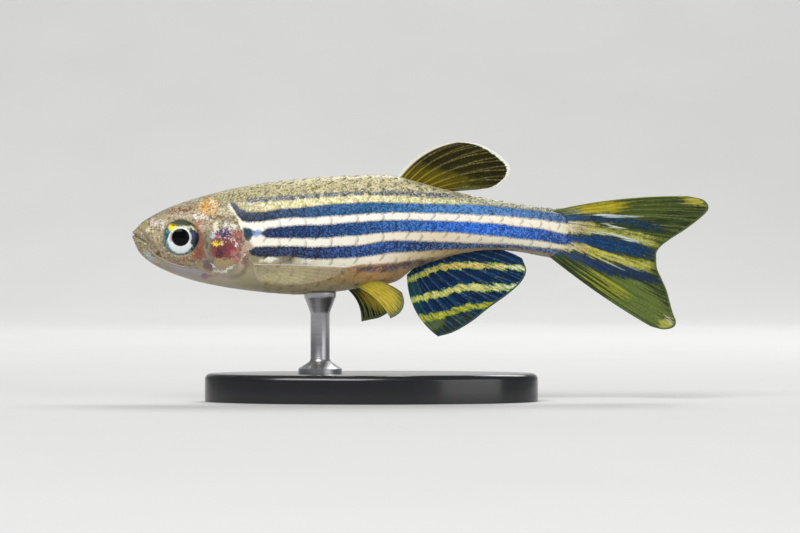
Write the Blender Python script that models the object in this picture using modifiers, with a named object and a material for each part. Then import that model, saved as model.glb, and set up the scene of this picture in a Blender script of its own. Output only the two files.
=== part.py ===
"""A zebra danio, life size, held in its swimming pose by a small display stand.

Metres, +Z up. The fish looks towards -X and shows its left flank to -Y. The origin is the middle of
the stand's underside, below the middle of the fish's length. The fish itself is drawn in millimetres
in its own frame: x runs back from the tip of the snout, z is the height over the snout-to-tail line,
and y is the distance from the middle plane. set_down() takes that frame to the world.
"""

import math

import bmesh
import bpy
from mathutils import Matrix, Vector

MM = 0.001

# The whole fish
TOTAL_LENGTH = 45.1
BODY_LENGTH = 34.7
AXIS_HEIGHT = 12.9
TAIL_SWING = 2.0
SWING_START = 12.0
GAP = 0.3

# The body's outline from the side: back and belly heights, and its half width, at places along it
BACK_LINE = [
    (0.0, 0.15), (0.23, 0.58), (0.62, 1.0), (1.33, 1.48), (2.9, 2.26), (5.2, 3.04), (8.35, 3.82),
    (12.2, 4.39), (16.1, 4.68), (20.2, 4.72), (22.4, 4.17), (24.7, 3.55), (27.85, 2.93),
    (31.0, 2.39), (32.7, 2.2), (33.8, 2.12), (34.4, 1.55), (34.7, 0.25),
]
BELLY_LINE = [
    (0.0, 0.15), (0.16, -0.62), (0.55, -1.33), (1.33, -2.03), (2.9, -2.85), (5.2, -3.59),
    (8.35, -4.17), (12.2, -4.55), (14.6, -4.52), (17.0, -4.17), (19.7, -3.78), (20.8, -3.4),
    (21.8, -2.6), (23.2, -2.08), (25.1, -1.48), (27.8, -1.08), (30.2, -1.25), (32.1, -1.6),
    (33.6, -1.75), (34.4, -1.2), (34.7, 0.25),
]
HALF_WIDTH_LINE = [
    (0.0, 0.0), (0.23, 0.42), (0.6, 0.68), (1.33, 1.02), (2.9, 1.6), (5.2, 2.18), (8.4, 2.55),
    (12.0, 2.75), (15.0, 2.75), (18.0, 2.5), (21.0, 2.02), (25.0, 1.42), (29.0, 0.98),
    (32.0, 0.66), (33.3, 0.46), (34.2, 0.25), (34.7, 0.1),
]
WAIST_SHARE = 0.53
FULLNESS = 2.15
BODY_RINGS = 60
BODY_SIDES = 32

# Where the body is parted: each cut is a line in the side view, from the back to the belly
NECK_CUT = ((7.8, 3.7), (9.75, -4.2))
VENT_CUT = ((20.0, 4.7), (20.9, -3.4))

# Head
EYE_PLACE = (3.87, 1.35, -0.14)
EYE_RADIUS = 1.4
EYE_DEPTH = 0.8
EYE_PROFILE = [
    (0.0, 1.05), (0.26, 1.03), (0.5, 0.9), (0.53, 0.8), (0.75, 0.62), (0.92, 0.36),
    (1.0, 0.0), (0.9, -0.42), (0.6, -0.8), (0.0, -0.95),
]
EYE_STEPS = 24
MOUTH_TIP = (0.0, 0.12)
MOUTH_CORNER = (1.05, -0.5)
MOUTH_WIDTH = 0.09
LIP_RADIUS = 0.17
LIP_SPACING = 0.21
LIP_SINK = 0.07
NOSTRIL_PLACES = ((1.28, 0.92), (1.62, 0.98))
NOSTRIL_RADIUS = 0.17
GILL_COVER_PLACE = (7.57, -1.0)
GILL_COVER_REACH = (1.45, 2.25)
GILL_COVER_LEAN = math.radians(-8)
GILL_COVER_FULLNESS = 2.5
GILL_COVER_THICKNESS = 0.5
GILL_COVER_RAISE = 0.08

# Feelers: side-view places from root to tip, with the thickness at the root
SNOUT_FEELER = [(0.75, 0.45), (1.2, 0.0), (1.75, -0.55), (2.05, -1.05)]
JAW_FEELER = [(1.25, -0.95), (1.9, -1.55), (2.9, -2.1), (4.1, -2.4), (5.1, -2.42)]
FEELER_THICKNESS = 0.5
FEELER_TIP_SHARE = 0.3

# Fins: the root line and the ray tips run from the leading ray to the last one, and the bow says how
# much of its own length the leading ray and the last one are bent
FIN_THICKNESS = 0.5
FIN_EDGE_THICKNESS = 0.26
RAY_RIDGE = 0.14
RAY_COLUMNS = 3
DORSAL = dict(
    root=[(20.5, 5.02), (22.4, 4.5), (24.5, 3.95)],
    tips=[(25.2, 7.35), (26.1, 7.33), (27.1, 7.15), (28.0, 6.7), (28.9, 6.05), (29.45, 5.35),
          (29.2, 4.55), (28.2, 3.85), (26.9, 3.62)],
    rays=9, rows=8, bow=(0.2, 0.02))
ANAL = dict(
    root=[(21.3, -3.55), (22.0, -2.95), (23.2, -2.42), (25.1, -1.82), (27.5, -1.42)],
    tips=[(23.8, -7.85), (25.0, -7.5), (26.4, -6.7), (27.8, -5.6), (29.2, -4.6), (30.3, -3.6),
          (30.7, -2.7), (30.4, -1.75)],
    rays=13, rows=8, bow=(-0.25, 0.13))
CAUDAL_UPPER = dict(
    root=[(33.6, 2.5), (34.55, 2.0), (35.0, 1.2), (35.05, 0.25)],
    tips=[(43.4, 3.16), (44.6, 2.9), (45.05, 2.45), (45.0, 2.0), (44.4, 1.4), (43.2, 0.5),
          (42.1, -0.2), (41.3, -0.8), (40.97, -1.28)],
    rays=10, rows=10, bow=(0.03, 0.0))
CAUDAL_LOWER = dict(
    root=[(35.05, -0.12), (34.95, -0.7), (34.5, -1.55), (33.45, -2.15)],
    tips=[(40.95, -1.68), (41.0, -2.5), (41.35, -3.3), (41.75, -4.2), (42.0, -5.1), (42.25, -6.0),
          (42.5, -6.7), (42.3, -7.15), (41.5, -7.32), (40.5, -7.08)],
    rays=9, rows=10, bow=(0.0, -0.04))
PELVIC_LEFT = dict(
    root_span=(16.9, 18.3),
    tips=[(20.1, -6.4), (20.7, -6.05), (21.05, -5.6), (21.15, -5.0), (21.0, -4.4)],
    rays=8, rows=6, bow=(0.2, 0.2), flare=0.42)
PELVIC_RIGHT = dict(
    root_span=(16.3, 17.7),
    tips=[(17.8, -6.7), (18.5, -6.55), (19.3, -6.35), (20.1, -5.8), (20.5, -5.0)],
    rays=8, rows=6, bow=(0.26, 0.26), flare=0.42)
PELVIC_ROOT_Y = 0.85
PECTORAL = dict(
    root=[(9.95, -2.2), (10.05, -2.6), (10.2, -3.0)],
    tips=[(16.9, -2.35), (16.2, -2.95), (14.9, -3.45), (13.3, -3.75), (11.9, -3.8)],
    rays=9, rows=6, bow=(0.01, 0.01), flare=0.16)

# Stand
ROD_X = 14.6
ROD_RADIUS = 0.75
CUP_RADIUS = 1.25
CUP_HEIGHT = 1.5
FOOT_RADIUS = 1.7
FOOT_HEIGHT = 0.7
ROD_STEPS = 28
BASE_SIZE = (26.0, 13.0, 2.2)
BASE_MIDDLE = 18.6
BASE_BEVEL = 0.5
BASE_SIDES = 48

SKIN = ("danio_skin", (0.42, 0.40, 0.28), 0.35, 0.1)
GILL = ("danio_gill_cover", (0.55, 0.38, 0.33), 0.3, 0.2)
EYE = ("danio_eye", (0.06, 0.07, 0.08), 0.08, 0.0)
FIN = ("danio_fin", (0.36, 0.36, 0.08), 0.35, 0.0)
STRIPED_FIN = ("danio_striped_fin", (0.07, 0.11, 0.24), 0.35, 0.0)
CLEAR_FIN = ("danio_clear_fin", (0.62, 0.6, 0.48), 0.3, 0.0)
FEELER = ("danio_feeler", (0.6, 0.55, 0.42), 0.4, 0.0)
STAND_BLACK = ("stand_black", (0.02, 0.02, 0.022), 0.3, 0.0)
STAND_STEEL = ("stand_steel", (0.62, 0.62, 0.63), 0.25, 1.0)


def clear_scene():
    for obj in list(bpy.data.objects):
        bpy.data.objects.remove(obj, do_unlink=True)


def new_collection(name):
    collection = bpy.data.collections.new(name)
    bpy.context.scene.collection.children.link(collection)
    return collection


def finish_of(name, colour, roughness, metallic):
    """The material of one finish, made once and shared by the pieces that have it."""
    found = bpy.data.materials.get(name)
    if found:
        return found
    material = bpy.data.materials.new(name)
    material.use_nodes = True
    shader = material.node_tree.nodes["Principled BSDF"]
    shader.inputs["Base Color"].default_value = (*colour, 1.0)
    shader.inputs["Roughness"].default_value = roughness
    shader.inputs["Metallic"].default_value = metallic
    return material


def smooth_line(points, at):
    """The values at `at` of a smooth line through points, each a position and then its values."""
    last = len(points) - 1
    i = min(max(sum(p[0] <= at for p in points) - 1, 0), last - 1)

    def slope(k):
        below, above = points[max(k - 1, 0)], points[min(k + 1, last)]
        return [(b - a) / (above[0] - below[0]) for a, b in zip(below[1:], above[1:])]

    span = points[i + 1][0] - points[i][0]
    t = min(max((at - points[i][0]) / span, 0.0), 1.0)
    weights = (2 * t**3 - 3 * t**2 + 1, t**3 - 2 * t**2 + t, 3 * t**2 - 2 * t**3, t**3 - t**2)
    return [
        weights[0] * a + weights[1] * span * m + weights[2] * b + weights[3] * span * n
        for a, m, b, n in zip(points[i][1:], slope(i), points[i + 1][1:], slope(i + 1))
    ]


def station(x):
    """The place x along the body as an angle, which opens up both blunt ends."""
    return math.acos(1 - 2 * min(max(x / BODY_LENGTH, 0.0), 1.0))


BACK, BELLY, HALF_WIDTH = (
    [(station(x), value) for x, value in line] for line in (BACK_LINE, BELLY_LINE, HALF_WIDTH_LINE)
)


def section(x):
    """Half width, height above the waist, depth below it, and the waist's height, at x."""
    back, belly, half_width = (smooth_line(line, station(x))[0] for line in (BACK, BELLY, HALF_WIDTH))
    waist = belly + WAIST_SHARE * (back - belly)
    return max(half_width, 0.0), max(back - waist, 0.0), max(waist - belly, 0.0), waist


def flank(x, z):
    """How far the body's surface stands from the middle plane at this place in the side view."""
    half_width, above, below, waist = section(x)
    reach = abs(z - waist) / max(above if z > waist else below, 1e-6)
    return half_width * max(1 - min(reach, 1.0) ** FULLNESS, 0.0) ** (1 / FULLNESS)


def underside(x, y):
    """The height of the belly's surface at this place as seen from below."""
    half_width, _, below, waist = section(x)
    return waist - below * max(1 - (abs(y) / half_width) ** FULLNESS, 0.0) ** (1 / FULLNESS)


def rounded(share):
    """A circle's sine or cosine, drawn out to the fuller round of the body's sections."""
    return math.copysign(abs(share) ** (2 / FULLNESS), share)


def swing(x):
    """How far the tail has swung away from the middle plane at x."""
    share = max(x - SWING_START, 0.0) / (TOTAL_LENGTH - SWING_START)
    return TAIL_SWING * share**2


def body_mesh(grow=0.0):
    """The whole body from a round ball: its rings become the sections, from the snout to the tail."""
    bm = bmesh.new()
    bmesh.ops.create_uvsphere(bm, u_segments=BODY_SIDES, v_segments=BODY_RINGS, radius=1.0)
    for v in bm.verts:
        x = BODY_LENGTH * (1 - v.co.z) / 2
        ring = math.hypot(v.co.x, v.co.y)
        around = math.atan2(v.co.y, v.co.x)
        half_width, above, below, waist = section(x)
        tall = above if around > 0 else below
        opened = min(ring * 1e3, 1.0)
        v.co = (
            x - grow * v.co.z,
            opened * (max(half_width + grow, 0.0)) * rounded(math.cos(around)),
            waist + opened * max(tall + grow, 0.0) * rounded(math.sin(around)),
        )
    bmesh.ops.recalc_face_normals(bm, faces=bm.faces)
    return bm


def add_object(name, bm, collection):
    mesh = bpy.data.meshes.new(name)
    bm.to_mesh(mesh)
    bm.free()
    obj = bpy.data.objects.new(name, mesh)
    collection.objects.link(obj)
    return obj


def cut_across(bm, line, keep_front):
    """Cuts the body along a line of the side view, half the gap to one side of it, and caps it."""
    (x0, z0), (x1, z1) = line
    normal = Vector((z0 - z1, 0.0, x1 - x0)).normalized()
    place = Vector((x0, 0.0, z0)) + normal * (GAP / 2) * (-1 if keep_front else 1)
    bmesh.ops.bisect_plane(
        bm, geom=bm.verts[:] + bm.edges[:] + bm.faces[:], plane_co=place, plane_no=normal,
        clear_outer=keep_front, clear_inner=not keep_front)
    bmesh.ops.holes_fill(bm, edges=[e for e in bm.edges if e.is_boundary], sides=0)


def body_piece(name, front=None, rear=None):
    """The stretch of the body behind the line `front` and ahead of the line `rear`."""
    bm = body_mesh()
    if front:
        cut_across(bm, front, keep_front=False)
    if rear:
        cut_across(bm, rear, keep_front=True)
    bmesh.ops.recalc_face_normals(bm, faces=bm.faces)
    return add_object(name, bm, fish)


def combine(obj, operation, helpers):
    """Applies one Boolean of obj with all the helpers, then removes the helpers."""
    group = new_collection(obj.name + "_helpers")
    for helper in helpers:
        for owner in list(helper.users_collection):
            owner.objects.unlink(helper)
        group.objects.link(helper)
    modifier = obj.modifiers.new(operation.title(), "BOOLEAN")
    modifier.operation = operation
    modifier.operand_type = "COLLECTION"
    modifier.collection = group
    modifier.solver = "EXACT"
    bpy.context.view_layer.update()
    evaluated = obj.evaluated_get(bpy.context.evaluated_depsgraph_get())
    made = bpy.data.meshes.new_from_object(evaluated)
    obj.modifiers.clear()
    obj.data = made
    for helper in helpers:
        bpy.data.objects.remove(helper, do_unlink=True)
    bpy.data.collections.remove(group)
    keep_largest(obj)


def keep_largest(obj):
    """Keeps only the largest closed surface of the mesh."""
    bm = bmesh.new()
    bm.from_mesh(obj.data)
    left, groups = set(bm.verts), []
    while left:
        group, edge = set(), [left.pop()]
        while edge:
            v = edge.pop()
            group.add(v)
            near = {e.other_vert(v) for e in v.link_edges} & left
            left -= near
            edge.extend(near)
        groups.append(group)
    groups.sort(key=len)
    bmesh.ops.delete(bm, geom=[v for g in groups[:-1] for v in g], context="VERTS")
    bm.to_mesh(obj.data)
    bm.free()


def tube(name, path, thickness, tip_share=1.0):
    """A round closed tube along the path, which narrows to tip_share of its thickness."""
    curve = bpy.data.curves.new(name, "CURVE")
    curve.dimensions = "3D"
    curve.bevel_depth = thickness / 2
    curve.bevel_resolution = 2
    curve.use_fill_caps = True
    spline = curve.splines.new("POLY")
    spline.points.add(len(path) - 1)
    for i, (point, place) in enumerate(zip(spline.points, path)):
        point.co = (*place, 1.0)
        point.radius = 1 + (tip_share - 1) * i / (len(path) - 1)
    drawn = bpy.data.objects.new(name + "_curve", curve)
    fish.objects.link(drawn)
    bpy.context.view_layer.update()
    mesh = bpy.data.meshes.new_from_object(drawn.evaluated_get(bpy.context.evaluated_depsgraph_get()))
    bpy.data.objects.remove(drawn, do_unlink=True)
    bm = bmesh.new()
    bm.from_mesh(mesh)
    bmesh.ops.remove_doubles(bm, verts=bm.verts, dist=1e-4)
    bmesh.ops.recalc_face_normals(bm, faces=bm.faces)
    return add_object(name, bm, fish)


def ball(name, place, reach):
    """An egg-shaped helper with its three half sizes."""
    bm = bmesh.new()
    bmesh.ops.create_uvsphere(bm, u_segments=20, v_segments=12, radius=1.0)
    bmesh.ops.transform(bm, matrix=Matrix.Translation(place) @ Matrix.Diagonal((*reach, 1.0)), verts=bm.verts)
    return add_object(name, bm, fish)


def mouth_path(shift, out, side_steps=7):
    """Round the snout on the skin, from the left corner of the mouth to the right one."""
    (x0, z0), (x1, z1) = MOUTH_TIP, MOUTH_CORNER
    slope = (z1 - z0) / (x1 - x0)
    widest = flank(x1, z1 + shift)
    middle = Vector((1.5 * x1, 0.0, z1 + shift))
    path = []
    for i in range(-side_steps, side_steps + 1):
        y = widest * math.sin(math.pi / 2 * i / side_steps)
        near, far = 0.0, x1
        for _ in range(30):
            x = (near + far) / 2
            near, far = (near, x) if flank(x, z0 + slope * x + shift) > abs(y) else (x, far)
        place = Vector((far, y, z0 + slope * far + shift))
        path.append(place + (place - middle).normalized() * out)
    return path


def gill_cover_outline(grow, sides=28):
    """The cover's rounded outline in the side view."""
    points = []
    for i in range(sides):
        angle = 2 * math.pi * i / sides
        power = 2 / GILL_COVER_FULLNESS
        across = (GILL_COVER_REACH[0] + grow) * math.copysign(abs(math.cos(angle)) ** power, math.cos(angle))
        up = (GILL_COVER_REACH[1] + grow) * math.copysign(abs(math.sin(angle)) ** power, math.sin(angle))
        turn = Matrix.Rotation(-GILL_COVER_LEAN, 2) @ Vector((across, up))
        points.append((GILL_COVER_PLACE[0] + turn.x, GILL_COVER_PLACE[1] + turn.y))
    return points


def gill_prism(name, side, grow):
    """The outline drawn out sideways, from near the middle plane to well outside the head."""
    bm = bmesh.new()
    outline = gill_cover_outline(grow)
    face = bm.faces.new([bm.verts.new((x, side * 0.4, z)) for x, z in outline])
    raised = bmesh.ops.extrude_face_region(bm, geom=[face])["geom"]
    moved = [v for v in raised if isinstance(v, bmesh.types.BMVert)]
    bmesh.ops.translate(bm, verts=moved, vec=(0.0, side * 3.5, 0.0))
    bmesh.ops.recalc_face_normals(bm, faces=bm.faces)
    return add_object(name, bm, fish)


def gill_cover(name, side):
    """A bowed plate between two skins: a little over the head's own, and its thickness inside."""
    plate = add_object(name, body_mesh(GILL_COVER_RAISE), fish)
    combine(plate, "INTERSECT", [gill_prism("gill_outline", side, 0.0)])
    combine(plate, "DIFFERENCE", [add_object("gill_inside", body_mesh(-GILL_COVER_THICKNESS), fish)])
    return plate


def gill_pocket(name, side):
    """The hollow in the head that a cover lies in, wider and deeper than the cover by the gap."""
    pocket = gill_prism(name, side, GAP)
    inside = body_mesh(-GILL_COVER_THICKNESS - GAP)
    combine(pocket, "DIFFERENCE", [add_object("pocket_floor", inside, fish)])
    return pocket


def eye(name, side, grow=0.0, collection=None):
    """One turned eyeball: the lens stands a little out of the iris, and the back is round."""
    bm = bmesh.new()
    ring = None
    for radius, height in EYE_PROFILE:
        place = Vector((radius * (EYE_RADIUS + grow), 0.0, height * (EYE_DEPTH + grow)))
        v = bm.verts.new(place)
        if ring:
            bm.edges.new((ring, v))
        ring = v
    obj = add_object(name, bm, collection or fish)
    turn = obj.modifiers.new("Turn", "SCREW")
    turn.steps = turn.render_steps = EYE_STEPS
    turn.use_merge_vertices = True
    turn.merge_threshold = 1e-5
    bpy.context.view_layer.update()
    obj.data = bpy.data.meshes.new_from_object(obj.evaluated_get(bpy.context.evaluated_depsgraph_get()))
    obj.modifiers.clear()
    x, y, z = EYE_PLACE
    outward = Matrix.Rotation(math.radians(-90 * side), 4, "X")
    obj.data.transform(Matrix.Translation((x, side * y, z)) @ outward)
    return obj


def feeler_path(places, side, steps=9):
    """The feeler's middle line, one gap and half its own thickness off the skin."""
    line = [(i / (len(places) - 1), *place) for i, place in enumerate(places)]
    path = []
    for i in range(steps):
        share = i / (steps - 1)
        x, z = smooth_line(line, share)
        thick = FEELER_THICKNESS * (1 + (FEELER_TIP_SHARE - 1) * share)
        path.append((x, side * (flank(x, z) + GAP + thick * 0.62), z))
    return path


def spread(points):
    """Points with their share of the line's count in front, for smooth_line."""
    return [(i / (len(points) - 1), *point) for i, point in enumerate(points)]


def blade_place(shape, across, along, side):
    """A point on the fin's middle surface: `across` the rays and `along` them, both from 0 to 1."""
    root = Vector(smooth_line(shape["root_line"], across))
    tip = Vector(smooth_line(shape["tip_line"], across))
    chord = tip - root
    first, last = shape["bow"]
    bow = first + (last - first) * across
    bend = root + chord / 2 + Vector((-chord.y, chord.x)) * bow
    place = root * (1 - along) ** 2 + bend * 2 * along * (1 - along) + tip * along**2
    out = shape.get("root_y", 0.0) + shape.get("flare", 0.0) * (place - root).length
    if shape.get("on_flank"):
        out += flank(root.x, root.y) + GAP + FIN_THICKNESS * 0.55
    return Vector((place.x, side * out, place.y))


def fin(name, shape, side=1):
    """A fin as a closed blade: a thin web whose own surface rises along each ray."""
    shape = dict(shape, tip_line=spread(shape["tips"]))
    if "root_span" in shape:
        shape["root"] = [(x, underside(x, PELVIC_ROOT_Y) - GAP - 0.1) for x in shape["root_span"]]
        shape["root_y"] = PELVIC_ROOT_Y
    shape["root_line"] = spread(shape["root"])
    gaps = shape["rays"] - 1
    columns, rows = gaps * RAY_COLUMNS, shape["rows"]
    bm = bmesh.new()
    bmesh.ops.create_grid(bm, x_segments=columns, y_segments=rows, size=1.0)
    bmesh.ops.triangulate(bm, faces=bm.faces)
    raised = bmesh.ops.extrude_face_region(bm, geom=bm.faces[:])["geom"]
    bmesh.ops.translate(bm, verts=[v for v in raised if isinstance(v, bmesh.types.BMVert)], vec=(0, 0, 1))
    step = 1e-3
    for v in bm.verts:
        across, along, face = (v.co.x + 1) / 2, (v.co.y + 1) / 2, 2 * round(v.co.z) - 1
        column = round(across * columns)
        on_ray = RAY_COLUMNS > 1 and column % RAY_COLUMNS == 0
        here = blade_place(shape, across, along, side)
        beside = blade_place(shape, min(across + step, 1.0), along, side) - blade_place(
            shape, max(across - step, 0.0), along, side)
        beyond = blade_place(shape, across, min(along + step, 1.0), side) - blade_place(
            shape, across, max(along - step, 0.0), side)
        thick = FIN_THICKNESS + (FIN_EDGE_THICKNESS - FIN_THICKNESS) * along**3
        if on_ray:
            thick += 2 * RAY_RIDGE * (1 - 0.7 * along)
        v.co = here + beside.cross(beyond).normalized() * face * thick / 2
    bmesh.ops.recalc_face_normals(bm, faces=bm.faces)
    if bm.calc_volume(signed=True) < 0:
        bmesh.ops.reverse_faces(bm, faces=bm.faces)
    return add_object(name, bm, fish)


def turned(name, profile, steps, collection):
    """A closed turned solid from radius and height pairs that run down its outer side."""
    bm = bmesh.new()
    verts = [bm.verts.new((radius, 0.0, height)) for radius, height in profile]
    for a, b in zip(verts, verts[1:]):
        bm.edges.new((a, b))
    obj = add_object(name, bm, collection)
    turn = obj.modifiers.new("Turn", "SCREW")
    turn.steps = turn.render_steps = steps
    turn.use_merge_vertices = True
    turn.merge_threshold = 1e-5
    bpy.context.view_layer.update()
    obj.data = bpy.data.meshes.new_from_object(obj.evaluated_get(bpy.context.evaluated_depsgraph_get()))
    obj.modifiers.clear()
    return obj


def set_down(obj, finish, origin, parent, swings=True):
    """Takes a piece from the fish's frame to the world, with its own origin at its root."""
    for v in obj.data.vertices:
        sideways = swing(v.co.x) if swings else 0.0
        v.co = Vector((v.co.x - TOTAL_LENGTH / 2, v.co.y + sideways, v.co.z + AXIS_HEIGHT)) * MM
    root = Vector((origin[0] - TOTAL_LENGTH / 2, origin[1], origin[2] + AXIS_HEIGHT)) * MM
    obj.data.transform(Matrix.Translation(-root))
    obj.parent = parent
    obj.location = root
    obj.data.materials.clear()
    obj.data.materials.append(finish_of(*finish))
    obj.data.shade_smooth()
    obj.data.set_sharp_from_angle(angle=math.radians(40))


def build_head():
    """The head with its mouth, lips, nostrils, eye sockets and the pockets of the gill covers."""
    head = body_piece("head", rear=NECK_CUT)
    combine(head, "UNION", [
        tube("upper_lip", mouth_path(LIP_SPACING, -LIP_SINK), 2 * LIP_RADIUS),
        tube("lower_lip", mouth_path(-LIP_SPACING, -LIP_SINK), 2 * LIP_RADIUS)])
    cutters = [tube("mouth_line", mouth_path(0.0, 0.05), 2 * MOUTH_WIDTH)]
    for side in (-1, 1):
        cutters.append(eye(f"socket_{side}", side, GAP))
        cutters.append(gill_pocket(f"pocket_{side}", side))
        for i, (x, z) in enumerate(NOSTRIL_PLACES):
            place = (x, side * flank(x, z), z)
            cutters.append(ball(f"nostril_{side}_{i}", place, (NOSTRIL_RADIUS,) * 3))
    combine(head, "DIFFERENCE", cutters)
    return head


def build_rod():
    """The rod with its foot, and a small cup cut to the belly that it holds."""
    belly = section(ROD_X)[3] - section(ROD_X)[2]
    top, foot = belly + 0.45, BASE_SIZE[2] - AXIS_HEIGHT + GAP
    profile = [
        (0.0, top), (CUP_RADIUS, top), (CUP_RADIUS, belly - 0.25), (ROD_RADIUS, belly - CUP_HEIGHT),
        (ROD_RADIUS, foot + FOOT_HEIGHT + 0.4), (FOOT_RADIUS, foot + FOOT_HEIGHT * 0.6),
        (FOOT_RADIUS, foot), (0.0, foot),
    ]
    rod = turned("stand_rod", profile, ROD_STEPS, fish)
    rod.data.transform(Matrix.Translation((ROD_X, swing(ROD_X), 0.0)))
    held = add_object("held_belly", body_mesh(GAP), fish)
    combine(rod, "DIFFERENCE", [held])
    return rod


def build_base():
    """An oval plate with a rounded upper edge."""
    long, wide, high = BASE_SIZE
    bm = bmesh.new()
    bmesh.ops.create_cone(bm, cap_ends=True, segments=BASE_SIDES, radius1=0.5, radius2=0.5, depth=1.0)
    scale = Matrix.Diagonal((long, wide, high, 1.0))
    middle = Matrix.Translation((BASE_MIDDLE, 0.0, high / 2 - AXIS_HEIGHT))
    bmesh.ops.transform(bm, matrix=middle @ scale, verts=bm.verts)
    top = [e for e in bm.edges if all(v.co.z > high / 2 - AXIS_HEIGHT for v in e.verts)]
    bmesh.ops.bevel(
        bm, geom=top, offset=BASE_BEVEL, offset_type="OFFSET", affect="EDGES", segments=3,
        profile=0.5, material=-1, clamp_overlap=True)
    return add_object("stand_base", bm, fish)


def middle_of(points):
    return [sum(values) / len(points) for values in zip(*points)]


clear_scene()
fish = new_collection("zebra_danio")
root_empty = bpy.data.objects.new("zebra_danio_root", None)
fish.objects.link(root_empty)

set_down(build_head(), SKIN, (0.0, 0.0, 0.0), root_empty)
set_down(body_piece("trunk", NECK_CUT, VENT_CUT), SKIN, (9.0, 0.0, 0.0), root_empty)
set_down(body_piece("tail_stem", VENT_CUT), SKIN, (20.5, 0.0, 0.5), root_empty)

for side, word in ((-1, "left"), (1, "right")):
    eye_x, eye_y, eye_z = EYE_PLACE
    set_down(eye(f"eye_{word}", side), EYE, (eye_x, side * eye_y, eye_z), root_empty)
    set_down(gill_cover(f"gill_cover_{word}", side), GILL, (6.2, side * 2.2, -1.0), root_empty)
    for feeler, places in (("snout", SNOUT_FEELER), ("jaw", JAW_FEELER)):
        path = feeler_path(places, side)
        strand = tube(f"feeler_{feeler}_{word}", path, FEELER_THICKNESS, FEELER_TIP_SHARE)
        set_down(strand, FEELER, path[0], root_empty)
    pectoral = fin(f"pectoral_fin_{word}", dict(PECTORAL, on_flank=True), side)
    set_down(pectoral, CLEAR_FIN, (10.0, side * 2.4, -2.3), root_empty)
    pelvic = fin(f"pelvic_fin_{word}", PELVIC_LEFT if side < 0 else PELVIC_RIGHT, side)
    set_down(pelvic, FIN, (17.2, side * PELVIC_ROOT_Y, -4.2), root_empty)

for name, shape, finish in (
    ("dorsal_fin", DORSAL, FIN), ("anal_fin", ANAL, STRIPED_FIN),
    ("caudal_fin_upper", CAUDAL_UPPER, STRIPED_FIN), ("caudal_fin_lower", CAUDAL_LOWER, STRIPED_FIN),
):
    root_x, root_z = middle_of(shape["root"])
    set_down(fin(name, shape), finish, (root_x, 0.0, root_z), root_empty)

set_down(build_rod(), STAND_STEEL, (ROD_X, 0.0, BASE_SIZE[2] - AXIS_HEIGHT), root_empty, swings=False)
set_down(build_base(), STAND_BLACK, (BASE_MIDDLE, 0.0, -AXIS_HEIGHT), root_empty, swings=False)
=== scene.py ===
# %% [markdown]
# # A zebra danio on its stand
# This script dresses a measured solid model of a small striped fish. The solids say where everything
# is; the cells below make the fine surface: one skin, its scales, the eyes, the fins with their rays,
# the feelers and the stand, each with a material that is worked out from where a point lies.

# %% Load the measured frame
import math

import bmesh
import bpy
from mathutils import Matrix, Vector


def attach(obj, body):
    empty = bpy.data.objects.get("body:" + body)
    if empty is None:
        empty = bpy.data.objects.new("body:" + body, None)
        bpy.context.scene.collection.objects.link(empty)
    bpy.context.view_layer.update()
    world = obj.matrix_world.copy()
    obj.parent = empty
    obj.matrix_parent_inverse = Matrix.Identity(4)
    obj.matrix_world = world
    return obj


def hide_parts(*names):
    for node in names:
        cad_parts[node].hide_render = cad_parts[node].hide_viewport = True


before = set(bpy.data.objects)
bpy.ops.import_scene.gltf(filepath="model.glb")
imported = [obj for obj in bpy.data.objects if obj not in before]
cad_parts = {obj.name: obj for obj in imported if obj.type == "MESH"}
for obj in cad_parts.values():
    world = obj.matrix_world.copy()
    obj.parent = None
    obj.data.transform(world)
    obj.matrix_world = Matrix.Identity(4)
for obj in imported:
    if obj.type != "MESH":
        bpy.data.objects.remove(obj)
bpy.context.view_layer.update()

# %% [markdown]
# ## The fish's own ruler
# A fish is drawn most easily from its own snout: x runs back along it, z is the height over the line
# from snout to tail, and y is the distance from the middle plane. All sizes here are millimetres on
# that ruler. `settle` takes a finished mesh to the world, where the tail has swung a little to one
# side. The numbers are the ones that the solids were made from, so a new piece lands on its solid.

# %% The ruler and the body's outline
MM = 0.001
TOTAL_LENGTH = 45.1
BODY_LENGTH = 34.7
AXIS_HEIGHT = 12.9
TAIL_SWING = 2.0
SWING_START = 12.0

BACK_LINE = [
    (0.0, 0.15), (0.23, 0.58), (0.62, 1.0), (1.33, 1.48), (2.9, 2.26), (5.2, 3.04), (8.35, 3.82),
    (12.2, 4.39), (16.1, 4.68), (20.2, 4.72), (22.4, 4.17), (24.7, 3.55), (27.85, 2.93),
    (31.0, 2.39), (32.7, 2.2), (33.8, 2.12), (34.4, 1.55), (34.7, 0.25),
]
BELLY_LINE = [
    (0.0, 0.15), (0.16, -0.62), (0.55, -1.33), (1.33, -2.03), (2.9, -2.85), (5.2, -3.59),
    (8.35, -4.17), (12.2, -4.55), (14.6, -4.52), (17.0, -4.17), (19.7, -3.78), (20.8, -3.4),
    (21.8, -2.6), (23.2, -2.08), (25.1, -1.48), (27.8, -1.08), (30.2, -1.25), (32.1, -1.6),
    (33.6, -1.75), (34.4, -1.2), (34.7, 0.25),
]
HALF_WIDTH_LINE = [
    (0.0, 0.0), (0.23, 0.42), (0.6, 0.68), (1.33, 1.02), (2.9, 1.6), (5.2, 2.18), (8.4, 2.55),
    (12.0, 2.75), (15.0, 2.75), (18.0, 2.5), (21.0, 2.02), (25.0, 1.42), (29.0, 0.98),
    (32.0, 0.66), (33.3, 0.46), (34.2, 0.25), (34.7, 0.1),
]
WAIST_SHARE = 0.53
FULLNESS = 2.15


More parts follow.
